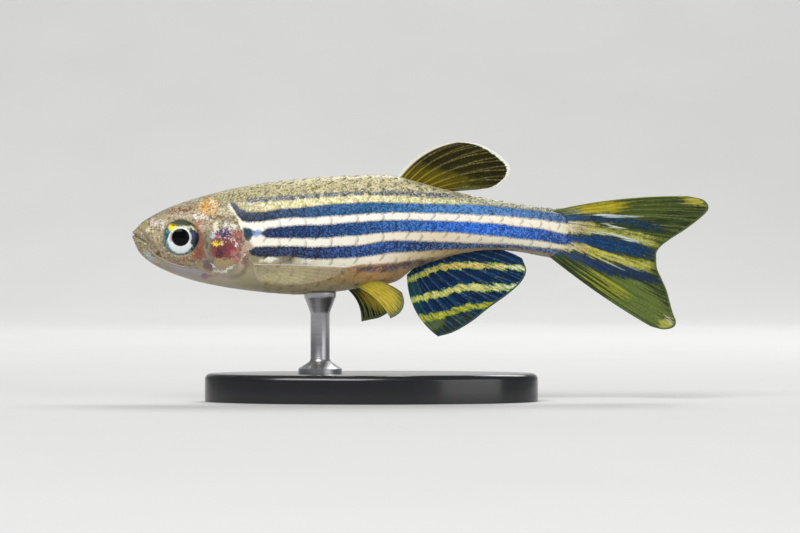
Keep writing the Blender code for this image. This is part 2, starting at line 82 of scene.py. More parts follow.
def smooth_line(points, at):
    """The values at `at` of a smooth line through points, each a position and then its values."""
    last = len(points) - 1
    i = min(max(sum(p[0] <= at for p in points) - 1, 0), last - 1)

    def slope(k):
        below, above = points[max(k - 1, 0)], points[min(k + 1, last)]
        return [(b - a) / (above[0] - below[0]) for a, b in zip(below[1:], above[1:])]

    span = points[i + 1][0] - points[i][0]
    t = min(max((at - points[i][0]) / span, 0.0), 1.0)
    weights = (2 * t**3 - 3 * t**2 + 1, t**3 - 2 * t**2 + t, 3 * t**2 - 2 * t**3, t**3 - t**2)
    return [
        weights[0] * a + weights[1] * span * m + weights[2] * b + weights[3] * span * n
        for a, m, b, n in zip(points[i][1:], slope(i), points[i + 1][1:], slope(i + 1))
    ]


def station(x):
    """The place x along the body as an angle, which opens up both blunt ends."""
    return math.acos(1 - 2 * min(max(x / BODY_LENGTH, 0.0), 1.0))


BACK, BELLY, HALF_WIDTH = (
    [(station(x), value) for x, value in line] for line in (BACK_LINE, BELLY_LINE, HALF_WIDTH_LINE)
)
sections = {}


def section(x):
    """Half width, height above the waist, depth below it, and the waist's height, at x."""
    key = round(x, 5)
    if key not in sections:
        back, belly, half_width = (smooth_line(line, station(x))[0] for line in (BACK, BELLY, HALF_WIDTH))
        waist = belly + WAIST_SHARE * (back - belly)
        sections[key] = max(half_width, 0.0), max(back - waist, 0.0), max(waist - belly, 0.0), waist
    return sections[key]


def flank(x, z):
    """How far the body's surface stands from the middle plane at this place in the side view."""
    half_width, above, below, waist = section(x)
    reach = abs(z - waist) / max(above if z > waist else below, 1e-6)
    return half_width * max(1 - min(reach, 1.0) ** FULLNESS, 0.0) ** (1 / FULLNESS)


def underside(x, y):
    """The height of the belly's surface at this place as seen from below."""
    half_width, _, below, waist = section(x)
    return waist - below * max(1 - (abs(y) / half_width) ** FULLNESS, 0.0) ** (1 / FULLNESS)


def rounded(share):
    """A circle's sine or cosine, drawn out to the fuller round of the body's sections."""
    return math.copysign(abs(share) ** (2 / FULLNESS), share)


def body_point(x, around, opened=1.0):
    """A point on the body's section at x, at an angle round it; an `opened` of 0 closes the section."""
    half_width, above, below, waist = section(x)
    out, up = rounded(math.cos(around)), rounded(math.sin(around))
    return Vector((x, opened * half_width * out, waist + opened * (above if up > 0 else below) * up))


def swing(x):
    """How far the tail has swung away from the middle plane at x."""
    share = max(x - SWING_START, 0.0) / (TOTAL_LENGTH - SWING_START)
    return TAIL_SWING * share**2


# %% Helpers that finish a piece
def settle(name, bm, material, nodes, swings=True):
    """Takes a mesh from the fish's ruler to the world and sets it in the place of its solids."""
    for v in bm.verts:
        sideways = swing(v.co.x) if swings else 0.0
        v.co = Vector((v.co.x - TOTAL_LENGTH / 2, v.co.y + sideways, v.co.z + AXIS_HEIGHT)) * MM
    mesh = bpy.data.meshes.new(name)
    bm.to_mesh(mesh)
    bm.free()
    mesh.shade_smooth()
    mesh.materials.append(material)
    piece = bpy.data.objects.new(name, mesh)
    bpy.context.scene.collection.objects.link(piece)
    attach(piece, "root")
    if nodes:
        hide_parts(*nodes)
    print(name, "has", len(mesh.polygons), "faces")
    return piece


def ease(value, low, high):
    """0 below low, 1 above high, and a soft rise between."""
    t = min(max((value - low) / (high - low), 0.0), 1.0)
    return t * t * (3 - 2 * t)


def bump(distance, width):
    """A soft round bump of height 1."""
    return math.exp(-((distance / width) ** 2))


# %% [markdown]
# ## Paint that knows its place
# The markings of a fish follow its body, so each one is written as a place: a stripe is a line along
# the fish with a half width, a patch is a leaning oval. An image would do the same, but a drawn rule
# stays sharp at any size and both the skin and the scales can share it. `Recipe` keeps the node
# network readable: its methods add one node each and hand back the socket to use next.

# %% The recipe helper
def tint(code):
    """A colour written as on a paint chart, in the renderer's linear values."""
    values = [int(code[i:i + 2], 16) / 255 for i in (1, 3, 5)]
    return (*[v / 12.92 if v <= 0.04045 else ((v + 0.055) / 1.055) ** 2.4 for v in values], 1.0)


class Recipe:
    """One material, built as sums and mixes of what is measured on the fish's ruler."""

    def __init__(self, name):
        self.material = bpy.data.materials.new(name)
        self.material.use_nodes = True
        self.nodes = self.material.node_tree.nodes
        self.links = self.material.node_tree.links
        self.shader = self.nodes["Principled BSDF"]
        coordinates = self.nodes.new("ShaderNodeTexCoord").outputs["Object"]
        ruler = self.node("Mapping", Vector=coordinates, Scale=(1 / MM,) * 3,
                          Location=(TOTAL_LENGTH / 2, 0.0, -AXIS_HEIGHT))
        self.place = ruler.outputs["Vector"]
        self.x, _, self.z = self.node("SeparateXYZ", Vector=self.place).outputs
        self.share = self.math("DIVIDE", self.x, TOTAL_LENGTH)

    def feed(self, socket, value):
        if isinstance(value, bpy.types.NodeSocket):
            self.links.new(value, socket)
        else:
            socket.default_value = value

    def feed_named(self, node, values):
        """Feeds a node's inputs by name, with _ for a space."""
        for name, value in values.items():
            self.feed(node.inputs[name.replace("_", " ")], value)

    def node(self, kind, **values):
        node = self.nodes.new("ShaderNode" + kind)
        self.feed_named(node, values)
        return node

    def math(self, operation, *values):
        node = self.nodes.new("ShaderNodeMath")
        node.operation = operation
        for socket, value in zip(node.inputs, values):
            self.feed(socket, value)
        return node.outputs["Value"]

    def times(self, first, second):
        return self.math("MULTIPLY", first, second)

    def less(self, first, second):
        """The first value less the second."""
        return self.math("SUBTRACT", first, second)

    def scaled(self, value, factor, added):
        """The value times a factor, and something added."""
        return self.math("MULTIPLY_ADD", value, factor, added)

    def ease(self, value, low, high, top=1.0):
        """0 below low, `top` above high, and a soft rise between."""
        node = self.node("MapRange", Value=value, From_Min=low, From_Max=high, To_Max=top)
        node.interpolation_type = "SMOOTHSTEP"
        return node.outputs["Result"]

    def paint(self, mask, under, over, strength=1.0):
        """The colour `over` laid on `under` where the mask is 1, as strongly as `strength` says."""
        node = self.nodes.new("ShaderNodeMix")
        node.data_type = "RGBA"
        self.feed(node.inputs["Factor"], mask if strength == 1.0 else self.times(mask, strength))
        for name, colour in (("A", under), ("B", over)):
            self.feed(node.inputs[name], tint(colour) if isinstance(colour, str) else colour)
        return node.outputs["Result"]

    def counted(self, size, stretch=(1.0, 1.0, 1.0), shift=0.0):
        """The place counted in steps of `size` millimetres, for a texture to read."""
        steps = self.node("Mapping", Vector=self.place, Location=(shift, 0.0, 0.0),
                          Scale=[1 / (size * s) for s in stretch])
        return steps.outputs["Vector"]

    def noise(self, size, detail=2.0, stretch=(1.0, 1.0, 1.0), shift=0.0):
        """Cloudy noise whose blobs are about `size` millimetres across."""
        place = self.counted(size, stretch, shift)
        return self.node("TexNoise", Vector=place, Scale=1.0, Detail=detail).outputs["Fac"]

    def fan(self, across, along, fine, coarse):
        """Noise drawn out along the rays of a fin, `fine` streaks wide and `coarse` streaks long."""
        place = self.node("CombineXYZ", X=self.times(across, fine), Y=self.times(along, coarse))
        return self.node("TexNoise", Vector=place.outputs["Vector"], Scale=1.0, Detail=2.0).outputs["Fac"]

    def grains(self, size):
        """A random value for each little cell, about `size` millimetres across."""
        cells = self.node("TexVoronoi", Vector=self.counted(size), Scale=1.0)
        return self.node("RGBToBW", Color=cells.outputs["Color"]).outputs["Val"]

    def along(self, points, value=1):
        """A value that changes along the fish, drawn smoothly through points (x, value, ...)."""
        low = min(p[value] for p in points) - 0.1
        high = max(p[value] for p in points) + 0.1
        places = [(p[0] / TOTAL_LENGTH, (p[value] - low) / (high - low)) for p in points]
        node = self.node("FloatCurve", Value=self.share)
        node.mapping.extend = "HORIZONTAL"
        curve = node.mapping.curves[0]
        for point, end in zip(curve.points, (places[0], places[-1])):
            point.location = end
        for inner in places[1:-1]:
            curve.points.new(*inner)
        node.mapping.update()
        return self.scaled(node.outputs["Value"], high - low, low)

    def stripe(self, points, height, soft=0.07, end=None):
        """Where a stripe is: points are (x, middle height, half width) along the fish."""
        off = self.math("ABSOLUTE", self.less(height, self.along(points, 1)))
        inside = self.ease(self.less(self.along(points, 2), off), -soft, soft)
        first = points[0][0]
        inside = self.times(inside, self.ease(self.x, first - 0.15, first + 0.15))
        return self.times(inside, self.ease(self.x, end[1], end[0])) if end else inside

    def ragged(self, *layers):
        """The place in the side view, pushed about by noises given as (size, how far)."""
        x, z = self.x, self.z
        for size, reach in layers:
            x = self.scaled(self.less(self.noise(size, detail=1.0), 0.5), 4 * reach, x)
            z = self.scaled(self.less(self.noise(size, detail=1.0, shift=40.0), 0.5), 4 * reach, z)
        return x, z

    def patch(self, place, middle, reach, lean=0.0, soft=0.3, strength=1.0):
        """Where a leaning oval is in the side view, with edges that fade over `soft` of its reach."""
        cos, sin = math.cos(math.radians(lean)), math.sin(math.radians(lean))
        square = 0.0
        for long, high, size in ((cos, sin, reach[0]), (-sin, cos, reach[1])):
            start = -(middle[0] * long + middle[1] * high) / size
            off = self.scaled(place[1], high / size, self.scaled(place[0], long / size, start))
            square = self.scaled(off, off, square)
        return self.ease(square, (1 + soft) ** 2, (1 - soft) ** 2, strength)

    def dab(self, place, patches, colour, soft=0.4, share=1.0):
        """Patches laid on a colour one after the other, each a row of patch's values and a colour."""
        for middle, reach, lean, code, strength, *own_soft in patches:
            mask = self.patch(place, middle, reach, lean, own_soft[0] if own_soft else soft, strength)
            colour = self.paint(mask, colour, code, share)
        return colour

    def ramp(self, stops):
        """A colour that changes along the fish, from (x, colour) to (x, colour)."""
        node = self.node("ValToRGB", Fac=self.share)
        elements = node.color_ramp.elements
        elements.remove(elements[1])
        for i, (x, code) in enumerate(stops):
            element = elements[0] if i == 0 else elements.new(x / TOTAL_LENGTH)
            element.position = x / TOTAL_LENGTH
            element.color = tint(code)
        return node.outputs["Color"]

    def attribute(self, name):
        node = self.nodes.new("ShaderNodeAttribute")
        node.attribute_name = name
        return node.outputs["Fac"]

    def raise_surface(self, height, distance):
        """Bump whose height of 1 stands `distance` millimetres proud."""
        bump = self.node("Bump", Strength=1.0, Distance=distance * MM, Height=height)
        self.feed(self.shader.inputs["Normal"], bump.outputs["Normal"])

    def finish(self, colour, roughness, **values):
        self.feed_named(self.shader, dict(values, Base_Color=colour, Roughness=roughness))
        return self.material


# %% [markdown]
# ## The markings of the flank
# Three blue stripes run from the gill cover to the tail between pale ones, a fainter dotted stripe
# lies over them and a dusky one under them. Each line below holds places on the fish: distance from
# the snout, height of the stripe's middle and half its width.

# %% The stripes
UPPER_BLUE = [
    (7.7, 2.5, 0.08), (8.05, 2.22, 0.24), (8.45, 1.75, 0.38), (8.9, 1.5, 0.38), (9.4, 1.45, 0.35),
    (10.7, 1.55, 0.35), (12.2, 1.75, 0.35), (13.8, 1.82, 0.4), (15.4, 1.98, 0.43), (17.0, 2.07, 0.43),
    (19.3, 2.18, 0.39), (21.5, 2.17, 0.34), (24.0, 2.12, 0.34), (27.1, 2.04, 0.37),
    (28.6, 1.93, 0.34), (30.2, 1.78, 0.31), (31.8, 1.6, 0.3), (33.4, 1.38, 0.3), (34.8, 1.2, 0.3),
]
MIDDLE_BLUE = [
    (8.7, 0.2, 0.42), (9.2, 0.17, 0.38), (9.65, 0.18, 0.08), (9.95, 0.18, 0.06), (10.5, 0.2, 0.34),
    (13.0, 0.3, 0.46), (14.6, 0.32, 0.49), (16.1, 0.44, 0.48), (17.7, 0.55, 0.5), (19.3, 0.69, 0.47),
    (21.0, 0.77, 0.43), (24.0, 0.73, 0.41), (27.1, 0.56, 0.44), (30.2, 0.26, 0.46),
    (31.8, 0.1, 0.45), (33.4, -0.2, 0.41), (34.8, -0.4, 0.35),
]
LOWER_BLUE = [
    (9.0, -1.24, -0.15), (9.4, -1.24, 0.24), (9.9, -1.24, 0.36), (11.5, -1.22, 0.39), (14.6, -1.33, 0.44),
    (16.1, -1.28, 0.45), (17.7, -1.19, 0.45), (19.3, -0.95, 0.46), (21.0, -0.82, 0.42),
    (22.5, -0.79, 0.36), (24.0, -0.78, 0.3), (25.5, -0.78, 0.23), (27.1, -0.77, 0.16),
    (28.6, -0.77, 0.12), (30.2, -0.88, 0.12), (31.8, -1.06, 0.15), (33.4, -1.38, 0.22),
]
DOTTED_STRIPE = [
    (8.9, 2.72, 0.18), (11.5, 2.88, 0.21), (13.0, 2.99, 0.21), (14.6, 3.12, 0.19),
    (16.1, 3.21, 0.19), (17.7, 3.28, 0.18), (19.3, 3.33, 0.19), (21.0, 3.3, 0.19),
    (23.2, 3.2, 0.19), (25.0, 3.1, 0.16),
]
DUSKY_STRIPE = [
    (13.8, -2.81, 0.2), (16.1, -2.78, 0.2), (17.7, -2.62, 0.19), (19.3, -2.55, 0.25),
    (20.8, -2.38, 0.27), (22.0, -2.12, 0.18), (23.4, -1.98, 0.16),
]
PALE_TOP = [
    (7.4, 2.75), (8.7, 2.58), (11.5, 2.7), (13.0, 2.82), (14.6, 2.93), (16.1, 3.04), (19.3, 3.16),
    (22.4, 2.97), (25.5, 2.72), (28.0, 2.4), (31.0, 2.05), (34.0, 1.75),
]
PALE_BOTTOM = [
    (8.8, -1.8), (10.7, -2.05), (13.0, -2.3), (16.1, -2.42), (17.7, -2.27), (19.3, -2.15),
    (20.8, -2.02), (22.4, -1.8), (24.0, -1.55), (26.0, -1.25), (28.6, -1.0), (31.0, -0.9), (34.0, -1.2),
]
BLUES = (
    (UPPER_BLUE, [(8.0, "#1f2536"), (11.0, "#1d324a"), (15.0, "#1b527e"), (20.0, "#1c608c"),
                  (25.0, "#3e7ab6"), (29.0, "#4c7eb4"), (33.0, "#466a98"), (34.6, "#2c466a")]),
    (MIDDLE_BLUE, [(8.9, "#1f4556"), (10.5, "#142650"), (14.0, "#0d3064"), (18.0, "#0d4078"),
                   (22.0, "#1158a6"), (27.0, "#0f6ae0"), (32.0, "#1652a8"), (34.6, "#143c78")]),
    (LOWER_BLUE, [(9.5, "#231f2c"), (13.0, "#23223a"), (16.0, "#1a2e68"), (19.5, "#123f7e"),
                  (23.0, "#182c54"), (27.0, "#555a6c"), (33.0, "#4f576c"), (34.6, "#26365a")]),
)
SPARKLES = [(9.0, "#44618c"), (14.0, "#4a76b4"), (20.0, "#5e96e0"), (28.0, "#6ea6f0"), (34.0, "#6a8cc4")]
YELLOWS = [(7.5, "#bdb27c"), (9.2, "#a79c66"), (10.4, "#dbd28e"), (14.0, "#f1e9a2"), (19.0, "#f1eaa8"),
           (25.0, "#d6dc9e"), (29.0, "#98aa92"), (33.0, "#7f9095")]
CREAMS = [(8.0, "#fffdf0"), (12.0, "#fffdf6"), (20.0, "#fffcf2"), (28.0, "#fcf5e4"), (33.0, "#f6efda"),
          (34.6, "#d2c79a")]
LOWER_CREAMS = [(9.0, "#fffbec"), (15.0, "#fffcee"), (20.0, "#f8eedb"), (24.0, "#ecdcc0"), (29.0, "#ebe8d2"),
                (33.0, "#e2dec2"), (34.6, "#c8ba62")]
# The lower pale stripe's own silver, with painted light from 13 to 19 mm that lifts the shade of the
# downward-facing lower flank.
SILVERS_WITH_PAINTED_LIGHT = [(9.0, "#8f8a74"), (11.0, "#aaa58e"), (13.4, "#d8d4bc"), (15.0, "#fffbe2"), (19.0, "#fff6e4"),
           (22.0, "#dcc8a0"), (25.0, "#b89c62"), (30.0, "#ab9f86"), (33.0, "#b4b09c")]
OLIVES = [(4.0, "#8d8560"), (8.5, "#8f875e"), (12.5, "#b2a86e"), (22.0, "#b6a978"), (29.0, "#85907a"),
          (34.0, "#66726e")]
SANDS = [(8.0, "#b7ad80"), (12.0, "#d8cea4"), (24.0, "#d4cba4"), (31.0, "#a3aca2")]
FRECKLES = [(8.0, "#5c4d26"), (20.0, "#4a4026"), (32.0, "#454a46")]
TANS = [(8.0, "#ada186"), (10.0, "#b3a986"), (12.0, "#c4ba8c"), (15.0, "#a68a58"), (19.0, "#b9864f"),
        (22.0, "#98805f"), (30.0, "#938a74"), (34.0, "#737566")]

# %% The head's patches
HEAD_PATCHES = [
    # where its middle is, how far it reaches, its lean, colour, strength, and softness if not 0.4
    # snout and forehead
    # these two, forehead and crown, are the head's olive grey darkened along its top outline as painted shade
    ((1.95, 1.72), (1.25, 0.24), 28, "#8d8a74", 0.85),
    ((4.65, 2.62), (0.9, 0.2), 14, "#a29d86", 0.8),
    ((1.0, 1.0), (0.34, 0.2), 20, "#9b9762", 0.7),
    ((1.7, 1.0), (0.36, 0.3), 0, "#dccbbf", 0.9, 0.3),
    ((1.4, 0.42), (0.34, 0.17), -10, "#efe2b6", 0.9, 0.3),
    ((2.4, 0.75), (0.15, 0.42), 0, "#ece6dc", 0.8),
    ((2.0, -0.1), (0.5, 0.5), 0, "#c7b48c", 0.6, 0.5),
    ((0.75, -0.75), (0.45, 0.45), 0, "#8d8a62", 0.6, 0.5),
    ((1.5, -1.7), (0.65, 0.26), -36, "#a6b2b0", 0.85),
    ((2.3, -1.85), (0.7, 0.35), -20, "#b3a890", 0.8),
    ((2.08, -1.33), (0.17, 0.13), 0, "#47461a", 1.0, 0.3),
    ((2.95, -2.03), (0.27, 0.12), 0, "#8f86ad", 0.8),
    ((4.1, -2.66), (1.6, 0.27), -15, "#a6a0aa", 0.85),
    ((4.3, -2.33), (0.85, 0.055), -8, "#67564b", 0.9),
    ((4.3, -1.76), (1.1, 0.24), 10, "#9b785a", 0.8),
    ((4.7, -1.98), (0.3, 0.1), 0, "#6e5a32", 0.8, 0.5),
    # round the eye
    ((3.95, 2.05), (1.15, 0.24), 10, "#a2835c", 0.8),
    ((4.15, 2.02), (0.35, 0.12), 0, "#764a28", 0.8, 0.6),
    ((3.75, 1.56), (0.85, 0.2), 2, "#bfae98", 0.9),
    # painted highlight: a white glint under the eye
    ((5.05, 1.5), (0.34, 0.09), -25, "#eef2ec", 1.0, 0.3),
    ((5.8, 1.38), (0.62, 0.11), -14, "#f0e2d4", 0.9, 0.3),
    ((4.95, 1.16), (0.28, 0.12), -38, "#593d34", 0.85, 0.3),
    ((5.35, -0.2), (0.34, 1.5), 3, "#8e5b49", 0.9),
    ((5.2, 0.9), (0.3, 0.3), 0, "#b3794e", 0.7),
    ((5.15, -1.4), (0.42, 0.5), 20, "#86453b", 0.85),
    ((4.85, -1.3), (0.16, 0.3), -35, "#a3662f", 0.8),
    ((5.8, 0.6), (0.4, 0.42), 0, "#c4b095", 0.8),
    ((5.92, -0.75), (0.22, 1.25), 2, "#868a72", 0.9, 0.3),
    ((5.85, -0.65), (0.09, 0.28), 0, "#55482f", 0.8, 0.5),
    ((6.35, -1.45), (0.28, 0.6), 0, "#8b8078", 0.85),
    ((6.4, -1.12), (0.2, 0.14), 30, "#463840", 0.9),
    # nape
    ((5.95, 2.2), (0.72, 0.68), 0, "#dfae5c", 0.95, 0.25),
    ((5.65, 2.2), (0.3, 0.4), 0, "#d39c38", 0.8, 0.5),
    ((6.35, 2.55), (0.33, 0.25), -15, "#f2d8a4", 0.9),
    ((6.45, 1.42), (0.4, 0.13), 5, "#75600f", 0.95),
    ((7.0, 2.15), (0.16, 0.2), 40, "#84742c", 0.8, 0.5),
    ((7.25, 1.95), (0.42, 0.4), 10, "#c3b888", 0.9),
    ((7.5, 2.6), (0.7, 0.36), 0, "#8a7a52", 0.85, 0.5),
    ((7.35, 1.2), (0.3, 0.22), -20, "#826a5e", 0.85),
    ((6.95, 1.42), (0.14, 0.1), 0, "#6f5a17", 0.9),
    # gill cover
    ((7.55, -0.75), (1.35, 1.45), -8, "#9c584e", 1.0, 0.12),
    ((7.1, -1.05), (0.95, 0.7), 10, "#7a343a", 0.8, 0.5),
    ((6.6, 0.72), (0.2, 0.4), 0, "#f3f0d0", 0.95, 0.3),
    ((7.7, 0.72), (0.65, 0.27), -12, "#f3eedd", 0.9, 0.3),
    ((7.15, 0.2), (0.42, 0.4), 0, "#56527c", 0.95, 0.25),
    ((7.55, 0.16), (0.28, 0.15), 10, "#38202f", 0.95, 0.3),
    ((8.35, 0.12), (0.42, 0.3), -30, "#a86c60", 0.8),
    ((8.45, -0.9), (0.25, 0.9), -8, "#a97468", 0.8, 0.5),
    ((6.65, 0.05), (0.17, 0.22), 30, "#b85c5a", 0.95, 0.3),
    ((6.35, -0.1), (0.2, 0.24), 0, "#b7c8de", 0.95, 0.3),
    # painted highlight: a white glint on the gill cover
    ((6.4, 0.24), (0.22, 0.06), 28, "#f4f7ec", 1.0, 0.3),
    ((6.85, -1.32), (0.24, 0.4), 8, "#4d232c", 0.95, 0.35),
    ((7.35, -1.0), (0.4, 0.3), 0, "#6b343c", 0.9),
    ((7.8, -1.1), (0.32, 0.2), -15, "#9d3a42", 0.85),
    ((8.1, -1.55), (0.4, 0.35), 0, "#b27c76", 0.85),
    ((6.52, -0.58), (0.29, 0.2), 0, "#f6ea3a", 1.0, 0.2),
    ((6.62, -0.5), (0.12, 0.07), -20, "#c1930f", 0.9),
    ((7.03, -0.56), (0.22, 0.13), 0, "#f5dc80", 1.0, 0.3),
    ((8.1, -0.4), (0.5, 0.07), -48, "#eed9de", 0.9),
    ((7.75, -0.33), (0.3, 0.05), -60, "#f0d890", 0.9),
    # painted highlight: a white glint on the gill cover
    ((8.14, -0.78), (0.11, 0.11), 0, "#f8f2fd", 1.0),
    ((8.8, -1.0), (0.3, 1.75), -9, "#bc9f8e", 0.95, 0.25),
    ((8.47, -1.3), (0.06, 0.8), -6, "#7d5f52", 0.7, 0.5),
    ((8.85, -1.85), (0.16, 0.35), -10, "#775a47", 0.85),
    ((8.82, -1.57), (0.08, 0.08), 0, "#efe2d0", 1.0),
    ((7.2, -2.0), (0.8, 0.32), 4, "#a8976a", 0.9, 0.3),
    ((6.0, -2.25), (0.42, 0.45), 0, "#6a575d", 0.9, 0.35),
    # painted highlights: a white glint and two glint arcs on the throat
    ((6.38, -2.28), (0.25, 0.07), -45, "#ebe6dc", 0.95),
    ((6.85, -2.76), (0.5, 0.08), 4, "#dcd6ca", 0.8, 0.5),
    ((7.55, -2.6), (0.52, 0.1), 32, "#e6e4d6", 0.85, 0.5),
    ((7.95, -2.9), (0.33, 0.28), 0, "#8e8e76", 0.85),
    ((8.85, -2.9), (0.28, 0.09), -50, "#5b4926", 0.9),
    ((5.65, -3.13), (0.26, 0.15), 0, "#7d6285", 0.8, 0.5),
    ((6.3, -3.15), (0.5, 0.11), -6, "#a06a56", 0.8, 0.5),
    ((7.6, -3.55), (1.5, 0.28), -10, "#b9ac98", 0.8),
    ((8.9, -3.35), (0.9, 0.75), 0, "#ada383", 0.9, 0.5),
    # mouth
    ((0.5, 0.03), (0.42, 0.045), -28, "#3f352b", 1.0),
    ((0.74, 0.38), (0.4, 0.035), -36, "#574c3a", 0.95),
    ((1.2, -0.05), (0.25, 0.03), -50, "#6a5c40", 0.9),
]
FRONT_PATCHES = [
    # cream, light blue and glitter just behind the head; the two white patches on the silver stripe are
    # painted highlights
    ((8.05, 1.3), (0.85, 0.25), -54, "#fbf8e0", 1.0, 0.25),
    ((9.8, 0.2), (0.3, 0.22), 0, "#8fabda", 0.85, 0.6),
    ((9.1, -0.72), (0.34, 0.36), 0, "#b39f8a", 0.9),
    ((9.05, -0.22), (0.28, 0.14), 0, "#4f4a40", 0.9),
    ((9.5, -1.86), (0.5, 0.2), 0, "#8d8566", 0.8, 0.5),
    ((9.75, -2.95), (0.5, 0.35), 0, "#cbc0a4", 0.8, 0.6),
    # painted highlight: a white glint on the silver stripe
    ((10.75, -1.88), (0.6, 0.17), 5, "#fbf8ec", 0.95, 0.5),
    ((12.1, -1.86), (0.55, 0.25), 0, "#7e7664", 0.9, 0.5),
    # painted highlight: a white glint on the silver stripe
    ((13.6, -1.98), (0.4, 0.14), 3, "#fbf8ec", 0.9, 0.6),
]

# %% [markdown]
# ## The skin's colour
# The layers go down in the order a painter would lay them: olive back, tan belly, the pale zone
# between them, then the blue stripes with their grainy shimmer, and last the head. Every border is
# pushed about by two noises, as real markings are made of single pigment cells, and a fine grain of
# light and dark cells lies over everything.

# %% Build the skin material
def skin_material(name):
    r = Recipe(name)
    ragged = r.ragged((0.45, 0.1), (0.13, 0.09))
    height = r.ragged((0.9, 0.03), (0.12, 0.055))[1]
    fine = r.noise(0.22, detail=1.0)
    grain = r.grains(0.1)
    light_grain = r.ease(grain, 0.5, 0.74)
    dark_grain = r.ease(grain, 0.46, 0.24)

    # Back
    back = r.paint(r.noise(1.1), r.ramp(OLIVES), r.ramp(SANDS))
    back = r.paint(r.ease(r.noise(0.19, detail=1.5), 0.51, 0.59, 0.8), back, r.ramp(FRECKLES))
    back = r.paint(light_grain, back, "#fbf4d4", 0.45)

    # Belly
    belly = r.paint(r.ease(height, -3.2, -4.2), r.ramp(TANS), "#a39678")
    belly = r.paint(r.patch(ragged, (11.7, -3.25), (1.6, 0.36), 0, 0.6, 0.9), belly, "#f0e7a2")
    belly = r.paint(fine, belly, "#d9c79c", 0.35)
    belly = r.paint(dark_grain, belly, "#6d5a3a", 0.25)
    colour = r.paint(r.ease(height, -0.6, 0.6), belly, back)

    # Pale zone
    upper, middle, lower = (r.along(points) for points, _ in BLUES)
    light = r.ramp(CREAMS)
    for over, under, stops in (
        (height, upper, YELLOWS), (middle, height, LOWER_CREAMS), (lower, height, SILVERS_WITH_PAINTED_LIGHT),
    ):
        light = r.paint(r.ease(r.less(over, under), -0.05, 0.05), light, r.ramp(stops))
    light = r.paint(fine, light, "#d8c9a2", 0.2)
    over_upper = r.less(height, upper)
    on_yellow = r.ease(over_upper, 0.2, 0.5)
    light = r.paint(on_yellow, light, "#fffdf0", r.times(light_grain, 0.6))
    light = r.paint(on_yellow, light, "#a59a56", r.times(dark_grain, 0.5))
    over_top = r.less(height, r.along(PALE_TOP))
    pale = r.times(r.ease(over_top, 0.06, -0.06), r.ease(r.less(height, r.along(PALE_BOTTOM)), -0.1, 0.1))
    colour = r.paint(pale, colour, light, r.ease(ragged[0], 7.5, 7.75))
    dirt = r.ease(r.noise(0.2, detail=1.0), 0.55, 0.68, 0.6)
    colour = r.paint(dirt, colour, "#a39552", r.ease(over_upper, 0.3, 0.5))

    # Blue stripes
    for points, stops in BLUES:
        fringe = r.stripe([(x, mid, half + 0.09) for x, mid, half in points], height, 0.06)
        colour = r.paint(fringe, colour, "#6f5a4c", 0.55)
        blue = r.paint(light_grain, r.ramp(stops), r.ramp(SPARKLES), 0.5)
        blue = r.paint(dark_grain, blue, "#0a1228", 0.5)
        colour = r.paint(r.stripe(points, height, 0.05), colour, blue)

    # Fainter stripes
    beads = r.ease(r.noise(0.36, stretch=(1.3, 1.0, 1.0)), 0.3, 0.46)
    dotted = r.times(r.stripe(DOTTED_STRIPE, height, 0.07, end=(24.0, 27.0)), beads)
    dots = r.paint(light_grain, r.paint(dark_grain, "#5a5f68", "#2c2c34"), "#8d96a4")
    colour = r.paint(dotted, colour, dots, 0.85)
    dusky = r.stripe(DUSKY_STRIPE, height, 0.14, end=(23.0, 24.5))
    dusky = r.times(dusky, r.ease(r.noise(0.5), 0.3, 0.5, 0.92))
    dusk = r.paint(light_grain, "#43373c", "#75687c")
    colour = r.paint(dusky, colour, dusk, r.ease(r.x, 13.0, 19.0))
    colour = r.dab(ragged, FRONT_PATCHES, colour)

    # Head
    head = r.paint(r.ease(r.z, -0.5, 1.4), "#9a8c72", "#ada07c")
    head = r.paint(r.ease(r.z, -2.2, -3.0), head, "#a89c88")
    head = r.dab(ragged, HEAD_PATCHES, head)
    over_throat = r.ease(r.z, -2.4, -1.7)
    on_gill = r.patch(ragged, (7.4, -0.9), (1.0, 1.1), 0, 0.3)
    brown = r.ease(r.noise(0.2), 0.54, 0.62, 0.7)
    head = r.paint(brown, head, r.paint(on_gill, "#6f5138", "#6b2f33"), over_throat)
    inky = r.times(r.ease(r.noise(0.9, shift=5.0), 0.42, 0.6), r.ease(r.z, -1.2, 0.8))
    ink = r.ease(r.noise(0.14, detail=1.0, shift=9.0), 0.56, 0.63, 0.85)
    head = r.paint(ink, head, "#33270f", inky)
    not_red = r.less(1.0, r.patch(ragged, (6.7, -0.9), (2.1, 1.6), 0, 0.3, 0.9))
    # Pale specks over the head above the throat: painted highlights, small glints on the wet skin
    painted_highlight_specks = r.times(r.ease(r.noise(0.16, detail=1.0), 0.58, 0.7, 0.5), over_throat)
    head = r.paint(painted_highlight_specks, head, "#fbf3dc", not_red)
    glitter_zone = r.patch(ragged, (7.35, 0.1), (0.75, 0.55), -25, 0.4)
    head = r.paint(glitter_zone, head, "#f3eef4", r.ease(grain, 0.68, 0.78, 0.5))
    head = r.paint(glitter_zone, head, "#3d3360", r.ease(grain, 0.3, 0.24, 0.7))
    on_head = r.ease(r.less(r.scaled(r.z, -0.33, 8.75), ragged[0]), -0.04, 0.08)
    colour = r.paint(on_head, colour, head, r.ease(r.scaled(r.x, 0.9, height), 9.3, 8.6))

    # Free edges of the scales: painted shade as a faint dark line along every free edge, and on the back its
    # dark net
    rim = r.attribute("rim")
    # painted shade: a faint dark line along each scale's free edge, where it steps over the next scale
    colour = r.paint(r.ease(rim, 0.8, 1.0, 0.15), colour, "#3b3226")
    colour = r.paint(r.ease(rim, 0.66, 1.0, 0.35), colour, "#4d4328", r.ease(over_top, 0.2, 0.6))

